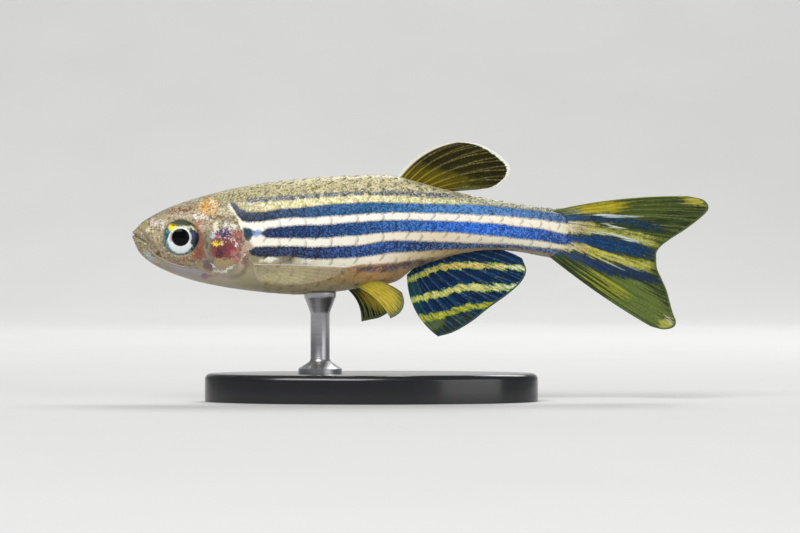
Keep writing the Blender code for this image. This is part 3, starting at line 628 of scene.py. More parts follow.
    # Gloss
    r.raise_surface(r.scaled(r.noise(0.12, detail=1.0), 0.5, r.times(fine, 0.5)), 0.025)
    wet = r.scaled(fine, 0.14, 0.34)
    return r.finish(colour, wet, Specular_IOR_Level=0.32, Coat_Weight=0.06, Coat_Roughness=0.2)


skin_finish = skin_material("danio_skin_finish")
print("skin finish has", len(skin_finish.node_tree.nodes), "nodes")

# %% [markdown]
# ## The skin
# A ball is the quickest closed start for a body that ends in a point at both ends: its poles go to the
# snout and the tail, its rings become the body's sections, and there is no seam anywhere. The face is
# then pressed in and raised along the surface: eye sockets, lips, nostrils and the free edge of the
# gill cover.

# %% The head's forms
EYE_PLACE = (3.87, 1.35, -0.14)
EYE_RADIUS = 1.4
MOUTH_TIP = (0.0, 0.12)
MOUTH_CORNER = (1.05, -0.5)
LIP_SPACING = 0.2
NOSTRIL_PLACES = ((1.28, 0.92), (1.62, 0.98))
GILL_COVER_PLACE = (7.57, -1.0)
GILL_COVER_REACH = (1.45, 2.25)
GILL_COVER_LEAN = math.radians(-8)
GILL_COVER_RAISE = 0.15
GILL_GROOVE_DEPTH = 0.07
SOCKET_DEPTH = 0.75
BROW_HEIGHT = 0.07
CHEEK_PLACE = (4.2, -0.3)
CHEEK_REACH = 2.35
CHEEK_GROOVE_DEPTH = 0.05
NOSTRIL_RIM = 0.05
NOSTRIL_DEPTH = 0.16
LIP_HEIGHT = 0.08
MOUTH_DEPTH = 0.16
SMOOTH_FROM = 10.5


def gill_cover_share(x, z):
    """0 at the cover's middle, 1 on its edge, and how far back on it the place is, from -1 to 1."""
    place = Matrix.Rotation(GILL_COVER_LEAN, 2) @ Vector((x - GILL_COVER_PLACE[0], z - GILL_COVER_PLACE[1]))
    across, up = place.x / GILL_COVER_REACH[0], place.y / GILL_COVER_REACH[1]
    return (abs(across) ** 2.5 + abs(up) ** 2.5) ** 0.4, across


def relief(x, z):
    """How far the skin of the head stands out or lies in at this place in the side view."""
    if x > SMOOTH_FROM:
        return 0.0
    from_eye = math.hypot(x - EYE_PLACE[0], z - EYE_PLACE[2])
    height = -SOCKET_DEPTH * ease(EYE_RADIUS + 0.03 - from_eye, 0.0, 0.22)
    height += BROW_HEIGHT * bump(from_eye - EYE_RADIUS - 0.14, 0.12)
    share, across = gill_cover_share(x, z)
    free_edge = ease(across, -0.5, 0.4)
    height += GILL_COVER_RAISE * ease(1.0 - share, 0.0, 0.05) * (0.25 + 0.75 * free_edge)
    height -= GILL_GROOVE_DEPTH * bump(share - 1.06, 0.05) * free_edge
    cheek = math.hypot(x - CHEEK_PLACE[0], z - CHEEK_PLACE[1]) - CHEEK_REACH
    height -= CHEEK_GROOVE_DEPTH * bump(cheek, 0.1) * ease(x, 4.4, 5.6) * ease(-z, -1.6, -0.6)
    for place_x, place_z in NOSTRIL_PLACES:
        from_nostril = math.hypot(x - place_x, z - place_z)
        height += NOSTRIL_RIM * bump(from_nostril - 0.17, 0.06) - NOSTRIL_DEPTH * bump(from_nostril, 0.11)
    slope = (MOUTH_CORNER[1] - MOUTH_TIP[1]) / MOUTH_CORNER[0]
    over_mouth = z - MOUTH_TIP[1] - slope * x
    mouth = 1 - ease(x, MOUTH_CORNER[0] - 0.1, MOUTH_CORNER[0] + 0.2)
    lips = bump(over_mouth - LIP_SPACING, 0.13) + bump(over_mouth + LIP_SPACING, 0.13)
    return height + mouth * (LIP_HEIGHT * lips - MOUTH_DEPTH * bump(over_mouth, 0.06))


# %% Shape the skin
SKIN_RINGS = 330
SKIN_SIDES = 132

skin = bmesh.new()
bmesh.ops.create_uvsphere(skin, u_segments=SKIN_SIDES, v_segments=SKIN_RINGS, radius=1.0)
for v in skin.verts:
    around = math.atan2(v.co.y, v.co.x)
    opened = min(math.hypot(v.co.x, v.co.y) * 1e3, 1.0)
    v.co = body_point(BODY_LENGTH * (1 - v.co.z) / 2, around, opened)
bmesh.ops.recalc_face_normals(skin, faces=skin.faces)
skin.normal_update()
for v in skin.verts:
    v.co += v.normal * relief(v.co.x, v.co.z)
settle("danio_skin", skin, skin_finish,
       ["head", "trunk", "tail_stem", "gill_cover_left", "gill_cover_right"])

# %% [markdown]
# ## The scales
# Zebra danios have about 27 scales from gill cover to tail. Each is a thin rounded plate whose front
# is sunk in the skin and whose free rear edge lies over the next one. They stand only a few
# hundredths of a millimetre proud, so that the light catches their edges without breaking up the
# stripes. A grid is bent into one plate, given a wall, and set down in staggered columns.

# %% Set down the scales
SCALE_START = 8.9
SCALE_END = 34.0
SCALE_PITCH = 1.0
SCALE_LENGTH = 1.75
SCALE_WIDTH = 1.12
SCALE_ROWS = ((24.0, 20), (29.0, 16), (BODY_LENGTH, 12))
SCALE_LIFT = 0.022
SCALE_SINK = 0.05
SCALE_WALL = 0.014
SCALE_STEPS = (5, 6)
CHART_MARGIN = 0.08


def raised_point(x, around, lift):
    """A point raised by `lift` over the body's surface, at an angle round it."""
    step = 0.01
    back = body_point(min(x + step, BODY_LENGTH - step), around) - body_point(x - step, around)
    turn = body_point(x, around + step) - body_point(x, around - step)
    return body_point(x, around) + turn.cross(back).normalized() * lift


def scale_columns():
    """Where each column of scales starts: a little closer together towards the tail."""
    places = [SCALE_START]
    while places[-1] < SCALE_END - 0.8:
        places.append(places[-1] + SCALE_PITCH - 0.3 * ease(places[-1], 20.0, 34.0))
    return places


def add_scale(bm, uv, start, around, length, turn, cell):
    """One plate: a grid bent over the body, with a rounded free edge and a wall below it."""
    rim = bm.verts.layers.float["rim"]
    top = bmesh.ops.create_grid(bm, x_segments=SCALE_STEPS[0], y_segments=SCALE_STEPS[1], size=1.0)["verts"]
    faces = list({f for v in top for f in v.link_faces})
    bottom = bmesh.ops.extrude_face_region(bm, geom=faces)["geom"]
    low = [v for v in bottom if isinstance(v, bmesh.types.BMVert)]
    inner = 1 - 2 * CHART_MARGIN
    for verts, drop, chart in ((low, SCALE_WALL, 0.5), (top, 0.0, 0.0)):
        for v in verts:
            along, across = (v.co.x + 1) / 2, v.co.y
            reach = along * (1 - 0.32 * across**2)
            lift = -SCALE_SINK + (SCALE_SINK + SCALE_LIFT) * reach**1.3 - drop
            v[rim] = along
            narrow = 0.75 + 0.25 * math.sin(math.pi * min(0.25 + 0.6 * along, 1.0))
            v.co = raised_point(start + length * reach, around + across * turn * narrow / 2, lift)
            for loop in v.link_loops:
                loop[uv].uv = (
                    cell[0] + cell[2] * (CHART_MARGIN + inner * along),
                    cell[1] + cell[3] * (CHART_MARGIN + inner * (across + 1) / 2) + chart)


columns = scale_columns()
scales = bmesh.new()
bake_map = scales.loops.layers.uv.new("OFBake")
scales.verts.layers.float.new("rim")
count = 0
for i, (start, end) in enumerate(zip(columns, columns[1:] + [SCALE_END])):
    rows = next(number for until, number in SCALE_ROWS if start < until)
    turn = 2 * math.pi / rows
    for j in range(rows):
        around = (j + 0.5 * (i % 2)) * turn
        cell = (i / len(columns), j / rows / 2, 1 / len(columns), 0.5 / rows)
        length = (end - start) * SCALE_LENGTH
        add_scale(scales, bake_map, start, around, length, turn * SCALE_WIDTH, cell)
        count += 1
bmesh.ops.recalc_face_normals(scales, faces=scales.faces)
settle("danio_scales", scales, skin_finish, [])
print(count, "scales in", len(columns), "columns")

# %% [markdown]
# ## The eyes
# A fish's eye is a flat-fronted ball with a round lens that bulges through the pupil. Half of its
# outline, spun once round, gives the whole ball. The iris is painted from where a point lies in the
# side view: a silver ring, brightest below, a yellow fleck in front and dark pigment above and behind.

# %% The eye's finish
IRIS_PATCHES = [
    # where its middle is from the middle of the eye, and then as for the head
    ((-0.06, -0.21), (0.98, 1.02), 0, "#eef4f4", 1.0, 0.06),
    ((0.1, 0.8), (0.75, 0.12), 0, "#e8e6b4", 0.85),
    ((0.0, 1.16), (1.0, 0.28), 0, "#4a4e3c", 0.95, 0.25),
    ((-1.14, 0.1), (0.14, 0.34), 0, "#39474a", 0.75),
    ((1.00, 0.02), (0.34, 0.72), 8, "#38404c", 0.97, 0.2),
    ((1.02, 0.24), (0.15, 0.26), 0, "#504f78", 0.9, 0.5),
    ((-1.03, -0.98), (0.5, 0.26), -45, "#6d9db2", 0.9, 0.3),
    ((0.07, -1.35), (0.75, 0.13), 0, "#86a9ac", 0.85),
    ((-0.68, 0.78), (0.31, 0.28), 0, "#f5e63e", 1.0, 0.2),
    ((-0.56, 0.98), (0.2, 0.09), 0, "#a06b12", 0.95, 0.3),
    ((1.06, 0.64), (0.42, 0.1), -42, "#f4f2bc", 1.0, 0.25),
    ((0.0, 0.0), (0.8, 0.8), 0, "#f7fafd", 0.8, 0.06),
    ((-0.73, 0.07), (0.13, 0.38), 0, "#bfa5b2", 0.8),
]


def eye_material():
    r = Recipe("danio_eye_finish")
    ragged = r.ragged((0.3, 0.05), (0.1, 0.04))
    eye_x, _, eye_z = EYE_PLACE
    colour = r.paint(r.ease(r.noise(0.2), 0.4, 0.6), "#3f5f66", "#7fb0b4")
    colour = r.dab((r.less(ragged[0], eye_x), r.less(ragged[1], eye_z)), IRIS_PATCHES, colour)
    colour = r.paint(r.ease(r.noise(0.08, detail=3.0), 0.52, 0.7, 0.25), colour, "#6b7f86")
    rim = r.patch((r.x, r.z), (eye_x - 0.04, eye_z + 0.02), (0.71, 0.69), 0, 0.03, 0.8)
    colour = r.paint(rim, colour, "#32161c")
    pupil = r.patch((r.x, r.z), (eye_x - 0.01, eye_z + 0.02), (0.67, 0.67), 0, 0.03)
    colour = r.paint(pupil, colour, "#040708")
    shine = r.scaled(r.noise(0.15), 0.1, 0.08)
    return r.finish(colour, shine, Specular_IOR_Level=0.1, Coat_Weight=0.04, Coat_Roughness=0.04)


eye_finish = eye_material()

# %% Spin the eyes
EYE_DEPTH = 0.8
ROUND_STEPS = 64
EYE_PROFILE = [
    (0.0, 1.03), (0.14, 1.02), (0.28, 0.985), (0.42, 0.92), (0.51, 0.85), (0.56, 0.8), (0.66, 0.74),
    (0.78, 0.64), (0.88, 0.5), (0.95, 0.33), (0.99, 0.14), (1.0, 0.0), (0.9, -0.4), (0.6, -0.8), (0.0, -0.95),
]


def spun_mesh(profile):
    """A full turn of an outline of (radius, height) pairs about the z axis."""
    bm = bmesh.new()
    verts = [bm.verts.new((radius, 0.0, height)) for radius, height in profile]
    edges = [bm.edges.new(pair) for pair in zip(verts, verts[1:])]
    bmesh.ops.spin(
        bm, geom=verts + edges, cent=(0, 0, 0), axis=(0, 0, 1), angle=2 * math.pi,
        steps=ROUND_STEPS, use_merge=True)
    bmesh.ops.remove_doubles(bm, verts=bm.verts, dist=1e-5)
    bmesh.ops.recalc_face_normals(bm, faces=bm.faces)
    return bm


for side, word in ((-1, "left"), (1, "right")):
    eye = spun_mesh([(r * EYE_RADIUS, h * EYE_DEPTH) for r, h in EYE_PROFILE])
    x, y, z = EYE_PLACE
    outward = Matrix.Translation((x, side * y, z)) @ Matrix.Rotation(math.radians(-90 * side), 4, "X")
    bmesh.ops.transform(eye, matrix=outward, verts=eye.verts)
    settle(f"danio_eye_{word}", eye, eye_finish, [f"eye_{word}"])

# %% [markdown]
# ## The fins
# A fin is a web stretched over bony rays that start single at the root and fork on the way out. The
# blade is a grid whose rows follow the rays; extruding the grid gives its second face, and every
# point is then lifted off the middle surface by the web's thickness plus the height of the ray there.
# The height is also kept as an attribute, so the paint can follow the rays exactly.

# %% Shapes of the fins
GAP = 0.3
FIN_ROOT_DEPTH = 0.55
WEB_THICKNESS = 0.1
RAY_HEIGHT = 0.075
FORK_START = 0.35
DORSAL = dict(
    root=[(20.5, 5.02), (22.4, 4.5), (24.5, 3.95)],
    tips=[(25.2, 7.35), (26.1, 7.33), (27.1, 7.15), (28.0, 6.7), (28.9, 6.05), (29.45, 5.35),
          (29.2, 4.55), (28.2, 3.85), (26.9, 3.62)],
    rays=9, rows=60, bow=(0.23, 0.02), heart=(22.5, -20.0))
ANAL = dict(
    root=[(21.3, -3.55), (22.0, -2.95), (23.2, -2.42), (25.1, -1.82), (27.5, -1.42)],
    tips=[(23.8, -7.85), (25.0, -7.5), (26.4, -6.7), (27.8, -5.6), (29.2, -4.6), (30.3, -3.6),
          (30.7, -2.7), (30.4, -1.75)],
    rays=13, rows=60, bow=(-0.25, 0.13), heart=(24.5, 20.0))
CAUDAL = dict(
    root=[(33.6, 2.5), (34.5, 2.0), (35.0, 1.2), (35.05, 0.1), (34.95, -0.7), (34.4, -1.55),
          (33.45, -2.15)],
    tips=[(43.4, 3.16), (44.6, 2.9), (45.05, 2.45), (45.0, 2.0), (44.4, 1.4), (43.2, 0.5),
          (42.1, -0.2), (41.3, -0.8), (40.97, -1.28), (40.95, -1.68), (41.0, -2.5), (41.35, -3.3),
          (41.75, -4.2), (42.0, -5.1), (42.25, -6.0), (42.5, -6.7), (42.3, -7.15), (41.5, -7.32),
          (40.5, -7.08)],
    rays=19, rows=80, bow=(0.06, -0.04), heart=(29.5, 0.1), depth=1.0, swell=0.3)
PELVIC_ROOT_Y = 0.85
PELVIC_LEFT = dict(
    root_span=(16.9, 18.3),
    tips=[(20.1, -6.4), (20.7, -6.05), (21.05, -5.6), (21.15, -5.0), (21.0, -4.4)],
    rays=8, rows=44, bow=(0.2, 0.2), flare=0.42, heart=(17.5, 3.0))
PELVIC_RIGHT = dict(
    root_span=(16.3, 17.7),
    tips=[(17.8, -6.7), (18.5, -6.55), (19.3, -6.35), (20.1, -5.8), (20.5, -5.0)],
    rays=8, rows=44, bow=(0.26, 0.26), flare=0.42, heart=(17.0, 3.0))
PECTORAL = dict(
    root=[(9.95, -2.2), (10.05, -2.6), (10.2, -3.0)],
    tips=[(16.9, -2.35), (16.2, -2.95), (14.9, -3.45), (13.3, -3.75), (11.9, -3.8)],
    rays=9, rows=44, bow=(0.01, 0.01), flare=0.16, on_flank=True, heart=(8.0, -2.2))


# %% Make a fin
def spread(points):
    """Points with their share of the line's count in front, for smooth_line."""
    return [(i / (len(points) - 1), *point) for i, point in enumerate(points)]


def ray_rise(across, along, rays):
    """How high the rays stand here, from 0 to 1: each forks past FORK_START of its length."""
    place = across * (rays - 1)
    off = place - round(place)
    split = 0.2 * ease(along, FORK_START, 1.0)
    width = 0.15 - 0.05 * along
    return max(bump(off - split, width), bump(off + split, width))


def blade_place(shape, across, along, side):
    """A point on the fin's middle surface: `across` the rays and `along` them, both from 0 to 1."""
    root = Vector(smooth_line(shape["root_line"], across))
    tip = Vector(smooth_line(shape["tip_line"], across))
    root += (Vector(shape["heart"]) - root).normalized() * shape.get("depth", FIN_ROOT_DEPTH)
    chord = tip - root
    first, last = shape["bow"]
    bow = first + (last - first) * across
    bend = root + chord / 2 + Vector((-chord.y, chord.x)) * bow
    place = root * (1 - along) ** 2 + bend * 2 * along * (1 - along) + tip * along**2
    out = shape.get("root_y", 0.0) + shape.get("flare", 0.0) * (place - root).length
    if shape.get("on_flank"):
        out += flank(root.x, root.y) - 0.1 + 0.45 * ease(along, 0.0, 0.15)
    return Vector((place.x, side * out, place.y))


def fin_mesh(shape, side=1, columns_per_ray=10):
    """The blade with its rays; `side` says to which side of the middle plane it stands out."""
    shape = dict(shape, tip_line=spread(shape["tips"]))
    if "root_span" in shape:
        shape["root"] = [(x, underside(x, PELVIC_ROOT_Y) - GAP) for x in shape["root_span"]]
        shape["root_y"] = PELVIC_ROOT_Y
    shape["root_line"] = spread(shape["root"])
    columns, rows = (shape["rays"] - 1) * columns_per_ray, shape["rows"]
    bm = bmesh.new()
    bmesh.ops.create_grid(bm, x_segments=columns, y_segments=rows, size=1.0)
    raised = bmesh.ops.extrude_face_region(bm, geom=bm.faces[:])["geom"]
    upper = [v for v in raised if isinstance(v, bmesh.types.BMVert)]
    bmesh.ops.translate(bm, verts=upper, vec=(0, 0, 1))
    layers = [bm.verts.layers.float.new(word) for word in ("ray", "along", "across")]
    step = 1e-3
    for v in bm.verts:
        across, along, face = (v.co.x + 1) / 2, (v.co.y + 1) / 2, 2 * round(v.co.z) - 1
        here = blade_place(shape, across, along, side)
        beside, beyond = (
            blade_place(shape, min(across + wide, 1.0), min(along + long, 1.0), side)
            - blade_place(shape, max(across - wide, 0.0), max(along - long, 0.0), side)
            for wide, long in ((step, 0.0), (0.0, step)))
        rise = ray_rise(across, along, shape["rays"])
        for layer, value in zip(layers, (rise, along, across)):
            v[layer] = value
        web = WEB_THICKNESS * (1 - 0.6 * along)
        ray = 2 * RAY_HEIGHT * rise * (1 - 0.65 * along) * ease(along, 0.02, 0.3)
        swell = 2 * shape.get("swell", 0.0) * (1 - ease(along, 0.03, 0.22))
        v.co = here + beside.cross(beyond).normalized() * face * (web + ray + swell) / 2
    bmesh.ops.recalc_face_normals(bm, faces=bm.faces)
    if bm.calc_volume(signed=True) < 0:
        bmesh.ops.reverse_faces(bm, faces=bm.faces)
    return bm


# %% [markdown]
# ## The colour of the fins
# All the fins share one way of painting: a streaky web with patches of colour, the rays over it in a
# lighter one, then the bands that run across the rays and last the pale edges. The bands of the tail
# fin go on where the body's stripes leave off. Only the pectoral fins are made nearly clear; the other
# webs are painted opaque and dark, their own colour darkened by painted shade where a clear web would
# let the dark behind it show through.

# %% Paint a fin
def fin_material(name, web, ray, ray_strength=0.7, root=None, patches=(), bands=(), glints=(), front=None,
                 edge=None, serrate=0.0, band_soft=0.07, threads=60.0, fray=0.0, glitter=0.4,
                 clear=(0.0, 0.02), veil=0.0):
    """A fin's paint: a band is (places, colour, fringe, sparkle, strength), and root, edge and front are
    (colour, from, to) along or across the fin. Patches lie under the rays and glints over them."""
    r = Recipe(name)
    rise, along, across = (r.attribute(word) for word in ("ray", "along", "across"))
    ragged = r.ragged((0.4, 0.1), (0.12, 0.08))
    streak = r.fan(across, along, threads, 5.0)
    light_streak = r.scaled(r.ease(streak, 0.36, 0.52), 0.65, 0.35)
    strands = r.less(r.fan(across, along, 34.0, 1.2), 0.5)
    frayed = r.scaled(strands, fray, ragged[1])
    drawn_out = r.scaled(strands, 6 * fray, ragged[0])
    grain = r.grains(0.1)
    light_grain = r.ease(grain, 0.5, 0.8)

    # Web and rays
    # Web: on all but the pectoral fins its dark colours hold painted shade, the dark seen through a clear web
    colour = r.paint(r.ease(streak, 0.4, 0.6), *web)
    ray_colour = r.paint(light_grain, ray, "#e9e6c0", 0.2)
    if root:
        fade = r.ease(along, root[2], root[1])
        colour = r.paint(fade, colour, root[0], 0.15)
        ray_colour = r.paint(fade, ray_colour, root[0])
    colour = r.dab((drawn_out, frayed), patches, colour, 0.5, light_streak)
    colour = r.paint(r.ease(rise, 0.35, 1.0, ray_strength), colour, ray_colour)
    colour = r.paint(r.ease(streak, 0.58, 0.68, 0.35), colour, ray_colour)

    # Bands and glints
    height = r.scaled(rise, serrate, frayed)
    if fray:
        fading = r.ease(r.scaled(strands, 0.4, along), 1.05, 0.82)
    for points, stops, fringe, sparkle, strength in bands:
        share = r.times(fading, strength) if fray else strength
        wide = r.stripe([(x, mid, half + 0.07) for x, mid, half in points], height, band_soft)
        colour = r.paint(wide, colour, fringe, share)
        inner = r.paint(light_grain, r.ramp(stops), sparkle, glitter)
        inner = r.paint(r.ease(grain, 0.4, 0.2, 0.25), inner, web[1])
        inner = r.paint(r.ease(streak, 0.5, 0.36, 0.6), inner, web[1])
        narrow = r.stripe([(x, mid, half - 0.02) for x, mid, half in points], height, band_soft)
        colour = r.paint(narrow, colour, inner, share)
    colour = r.dab((drawn_out, r.z), glints, colour, 0.7, light_streak)

    # Leading ray, free edge and the joints of the rays
    if front:
        colour = r.paint(r.ease(across, front[2], front[1]), colour, front[0])
    if edge:
        notched = r.scaled(streak, 0.05, along)
        colour = r.paint(r.ease(notched, edge[1] + 0.02, edge[2] + 0.02), colour, edge[0])
    joints = r.math("SINE", r.times(along, 150.0))
    colour = r.paint(rise, colour, "#232410", r.ease(joints, 0.5, 0.9, 0.22))
    r.raise_surface(r.scaled(joints, 0.15, streak), 0.015)

    # How clear it is
    thin = r.times(r.scaled(rise, veil - 1.0, 1.0), r.scaled(along, clear[1] - clear[0], clear[0]))
    if front:
        thin = r.times(thin, r.ease(across, front[1], front[2]))
    wet = r.scaled(streak, 0.12, 0.42)
    return r.finish(colour, wet, Alpha=r.less(1.0, thin), Specular_IOR_Level=0.1)


# The dorsal, anal, tail and pelvic webs below are dark as painted shade as well as their own colour.
dorsal_finish = fin_material(
    "danio_dorsal_finish", ("#302b03", "#1a1701"), "#5f5719", root=("#bca628", 0.05, 0.4),
    patches=[((25.3, 6.3), (1.4, 0.8), 40, "#211d04", 0.7), ((28.4, 6.0), (1.0, 1.3), -35, "#141404", 0.7),
             ((24.9, 4.4), (2.2, 0.5), -12, "#625806", 0.7), ((27.6, 4.5), (1.3, 0.6), 20, "#1c1b04", 0.7),
             ((26.2, 3.55), (1.0, 0.28), 0, "#6a7450", 0.8)],
    edge=("#f4f2e6", 0.955, 0.975), front=("#f2eed6", 0.03, 0.08), ray_strength=0.7)
anal_finish = fin_material(
    "danio_anal_finish", ("#0a2b52", "#07182e"), "#1f6088", ray_strength=0.4, serrate=0.14,
    bands=[
        ([(21.2, -3.5, 0.15), (22.6, -2.95, 0.16), (23.6, -2.5, 0.17), (24.6, -2.3, 0.18), (27.9, -2.3, 0.17),
          (30.8, -2.68, 0.13)],
         [(21.5, "#a9b83c"), (24.0, "#d6b24c"), (28.0, "#e4c05c"), (30.4, "#dfe8c4")],
         "#93ad3c", "#f8f6e4", 1.0),
        ([(21.2, -5.1, 0.15), (23.0, -4.7, 0.17), (24.2, -4.42, 0.19), (25.1, -4.15, 0.2), (26.2, -3.97, 0.2),
          (27.7, -4.0, 0.19), (30.2, -3.66, 0.14)],
         [(21.5, "#c0c040"), (25.0, "#dccd66"), (28.0, "#d8d480"), (30.0, "#dfe8c4")],
         "#8fb052", "#f8f6e4", 1.0),
        ([(22.3, -6.4, 0.17), (23.9, -6.2, 0.2), (25.5, -5.65, 0.18), (28.6, -5.25, 0.13)],
         [(22.0, "#b3b02a")], "#7c9a2a", "#dede90", 1.0),
    ],
    patches=[((24.6, -7.3), (2.6, 0.75), 24, "#2c3416", 0.95),
             ((23.3, -6.9), (0.9, 0.45), 20, "#6d7a20", 0.7),
             ((21.9, -4.5), (0.4, 2.0), 12, "#2a5a4c", 0.5)],
    edge=("#4c5a54", 0.97, 0.99))
caudal_finish = fin_material(
    "danio_caudal_finish", ("#3c4a24", "#202b14"), "#6f7b3c", ray_strength=0.5, band_soft=0.16, threads=110.0,
    fray=1.1, glitter=0.2,
    patches=[
        ((38.6, 1.9), (3.4, 0.7), 6, "#4c5a20", 0.7),
        ((36.4, 2.15), (1.9, 0.4), 5, "#c4b226", 0.9),
        ((34.3, 1.75), (0.9, 0.4), -15, "#7c8264", 0.8),
        ((39.6, -5.0), (2.9, 1.1), -42, "#6b7d3a", 0.75),
        ((35.4, -2.5), (1.2, 0.45), -40, "#5f6e36", 0.7),
        ((36.9, -3.75), (1.6, 0.42), -40, "#a3a526", 0.85),
        ((44.1, 2.75), (1.0, 0.33), -16, "#c2b648", 0.95),
        ((41.9, -6.9), (0.9, 0.4), 12, "#b4b34e", 0.9),
        ((42.6, -6.4), (0.2, 0.6), 10, "#e3d8cb", 0.8),
    ],
    glints=[
        ((37.5, 1.6), (1.4, 0.08), -4, "#e3eaea", 0.7),
        ((37.2, 0.8), (0.8, 0.06), -12, "#eceee4", 0.65),
        ((37.5, -0.06), (1.5, 0.07), -12, "#dfe8f4", 0.7),
        ((38.0, -2.2), (1.3, 0.07), -20, "#c8ccd8", 0.6),
    ],
    bands=[
        ([(33.0, 1.45, 0.32), (34.8, 1.32, 0.3), (36.4, 1.38, 0.24), (38.0, 1.22, 0.26), (39.6, 0.95, 0.24),
          (40.8, 0.7, 0.1), (42.4, 0.5, -0.2)],
         [(33.5, "#41658f"), (34.8, "#2c4c74"), (36.0, "#1d3654"), (38.0, "#15344e"), (41.0, "#1a2a30")],
         "#1d3346", "#5580a8", 0.9),
        ([(33.0, 0.7, 0.3), (35.0, 0.6, 0.45), (36.4, 0.4, 0.3), (38.0, 0.14, 0.28), (39.6, -0.18, 0.3),
          (41.2, -0.75, 0.3)],
         [(34.0, "#ece2c4"), (35.0, "#c4b083"), (36.2, "#b4b35a"), (40.0, "#b8b654")],
         "#7a8034", "#f6f2d8", 0.9),
        ([(33.0, -0.2, 0.4), (34.9, -0.38, 0.33), (36.4, -0.52, 0.42), (38.0, -0.82, 0.42),
          (39.6, -1.1, 0.42), (41.0, -1.45, 0.4)],
         [(33.8, "#1d55a2"), (35.2, "#163c72"), (38.0, "#123a62"), (41.0, "#152c48")],
         "#1a3048", "#4b82bc", 0.95),
        ([(33.0, -0.75, 0.2), (35.0, -0.95, 0.28), (36.2, -1.4, 0.3), (38.0, -1.85, 0.3), (39.6, -2.2, 0.3),
          (41.0, -2.4, 0.26)],
         [(33.8, "#ddd2ae"), (35.0, "#b9aa72"), (36.0, "#c8c04c"), (40.0, "#b0b048")],
         "#7d7d2a", "#f4efc0", 0.95),
        ([(33.0, -1.3, 0.1), (34.2, -1.5, 0.2), (35.2, -1.82, 0.28), (36.4, -2.3, 0.34), (38.0, -2.8, 0.36),
          (39.6, -3.1, 0.36), (41.2, -3.4, 0.3)],
         [(34.0, "#3b5376"), (36.0, "#1b3260"), (41.0, "#1a2a3c")], "#232e3e", "#50689c", 0.8),
    ],
    edge=("#5c6644", 0.98, 0.995), front=("#8d9444", 0.0, 0.03))
pelvic_finish = fin_material(
    "danio_pelvic_finish", ("#30340a", "#1e2207"), "#a6aa74", ray_strength=0.9,
    patches=[((19.4, -4.8), (1.4, 0.9), -30, "#7d7208", 0.9)],
    glints=[((19.3, -4.7), (1.3, 0.85), -30, "#dcc22e", 0.6)],
    root=("#87844e", 0.0, 0.4), edge=("#66724e", 0.93, 0.97))
pectoral_finish = fin_material(
    "danio_pectoral_finish", ("#c9bf9c", "#b0a688"), "#e2d8ba", ray_strength=0.5, clear=(0.7, 0.85), veil=0.8,
    root=("#b5aa88", 0.0, 0.3), front=("#ecdfd2", 0.03, 0.08))

# %% Set the fins in place
settle("danio_dorsal_fin", fin_mesh(DORSAL), dorsal_finish, ["dorsal_fin"])
settle("danio_anal_fin", fin_mesh(ANAL), anal_finish, ["anal_fin"])
settle("danio_caudal_fin", fin_mesh(CAUDAL, columns_per_ray=8), caudal_finish,
       ["caudal_fin_upper", "caudal_fin_lower"])
for side, word, pelvic in ((-1, "left", PELVIC_LEFT), (1, "right", PELVIC_RIGHT)):
    settle(f"danio_pelvic_fin_{word}", fin_mesh(pelvic, side), pelvic_finish, [f"pelvic_fin_{word}"])
    settle(f"danio_pectoral_fin_{word}", fin_mesh(PECTORAL, side), pectoral_finish,
           [f"pectoral_fin_{word}"])

# %% [markdown]
# ## The feelers
# Two pairs of short feelers hang from the snout and from the corners of the mouth. Each is a round
# strand that thins to a soft point: a circle is carried along the strand's path ring by ring.

# %% Feelers
SNOUT_FEELER = [(0.75, 0.45), (1.2, 0.0), (1.75, -0.55), (2.05, -1.05)]
JAW_FEELER = [(1.25, -0.95), (1.9, -1.55), (2.9, -2.1), (4.1, -2.4), (5.1, -2.42)]
FEELER_THICKNESS = 0.24
FEELER_STEPS = 24


def feeler_material():
    r = Recipe("danio_feeler_finish")
    colour = r.paint(r.noise(0.25), "#a59777", "#7c6f5c")
    colour = r.paint(r.ease(r.noise(0.09), 0.55, 0.7, 0.5), colour, "#54483a")
    r.raise_surface(r.noise(0.1), 0.02)
    return r.finish(colour, r.scaled(r.noise(0.2), 0.15, 0.3), Coat_Weight=0.2)


def strand_mesh(path, sides=12):
    """A closed strand: a ring of points extruded from place to place, and drawn to a tip."""
    bm = bmesh.new()
    ring = bmesh.ops.create_circle(bm, segments=sides, radius=1.0, cap_ends=True)["verts"]
    for i, place in enumerate(path):
        if i:
            faces = [f for f in bm.faces if set(f.verts) == set(ring)]
            grown = bmesh.ops.extrude_face_region(bm, geom=faces)["geom"]
            bmesh.ops.delete(bm, geom=faces, context="FACES_ONLY")
            ring = [v for v in grown if isinstance(v, bmesh.types.BMVert)]
        forward = path[min(i + 1, len(path) - 1)] - path[max(i - 1, 0)]
        facing = forward.to_track_quat("Z", "Y").to_matrix()
        share = i / (len(path) - 1)
        radius = FEELER_THICKNESS / 2 * (1 - 0.55 * share) * math.sqrt(max(1 - share**8, 0.02))
        for k, v in enumerate(ring):
            angle = 2 * math.pi * k / sides
            v.co = place + facing @ Vector((math.cos(angle), math.sin(angle), 0.0)) * radius
    bmesh.ops.recalc_face_normals(bm, faces=bm.faces)
    return bm


feeler_finish = feeler_material()
for side, word in ((-1, "left"), (1, "right")):
    for kind, places in (("snout", SNOUT_FEELER), ("jaw", JAW_FEELER)):
        path = []
        for share in (i / FEELER_STEPS for i in range(FEELER_STEPS + 1)):
            x, z = smooth_line(spread(places), share)
            off = 0.5 * ease(share, 0.0, 0.6) - 0.08
            path.append(Vector((x, side * (flank(x, z) + off), z)))
        name = f"feeler_{kind}_{word}"
        settle("danio_" + name, strand_mesh(path), feeler_finish, [name])

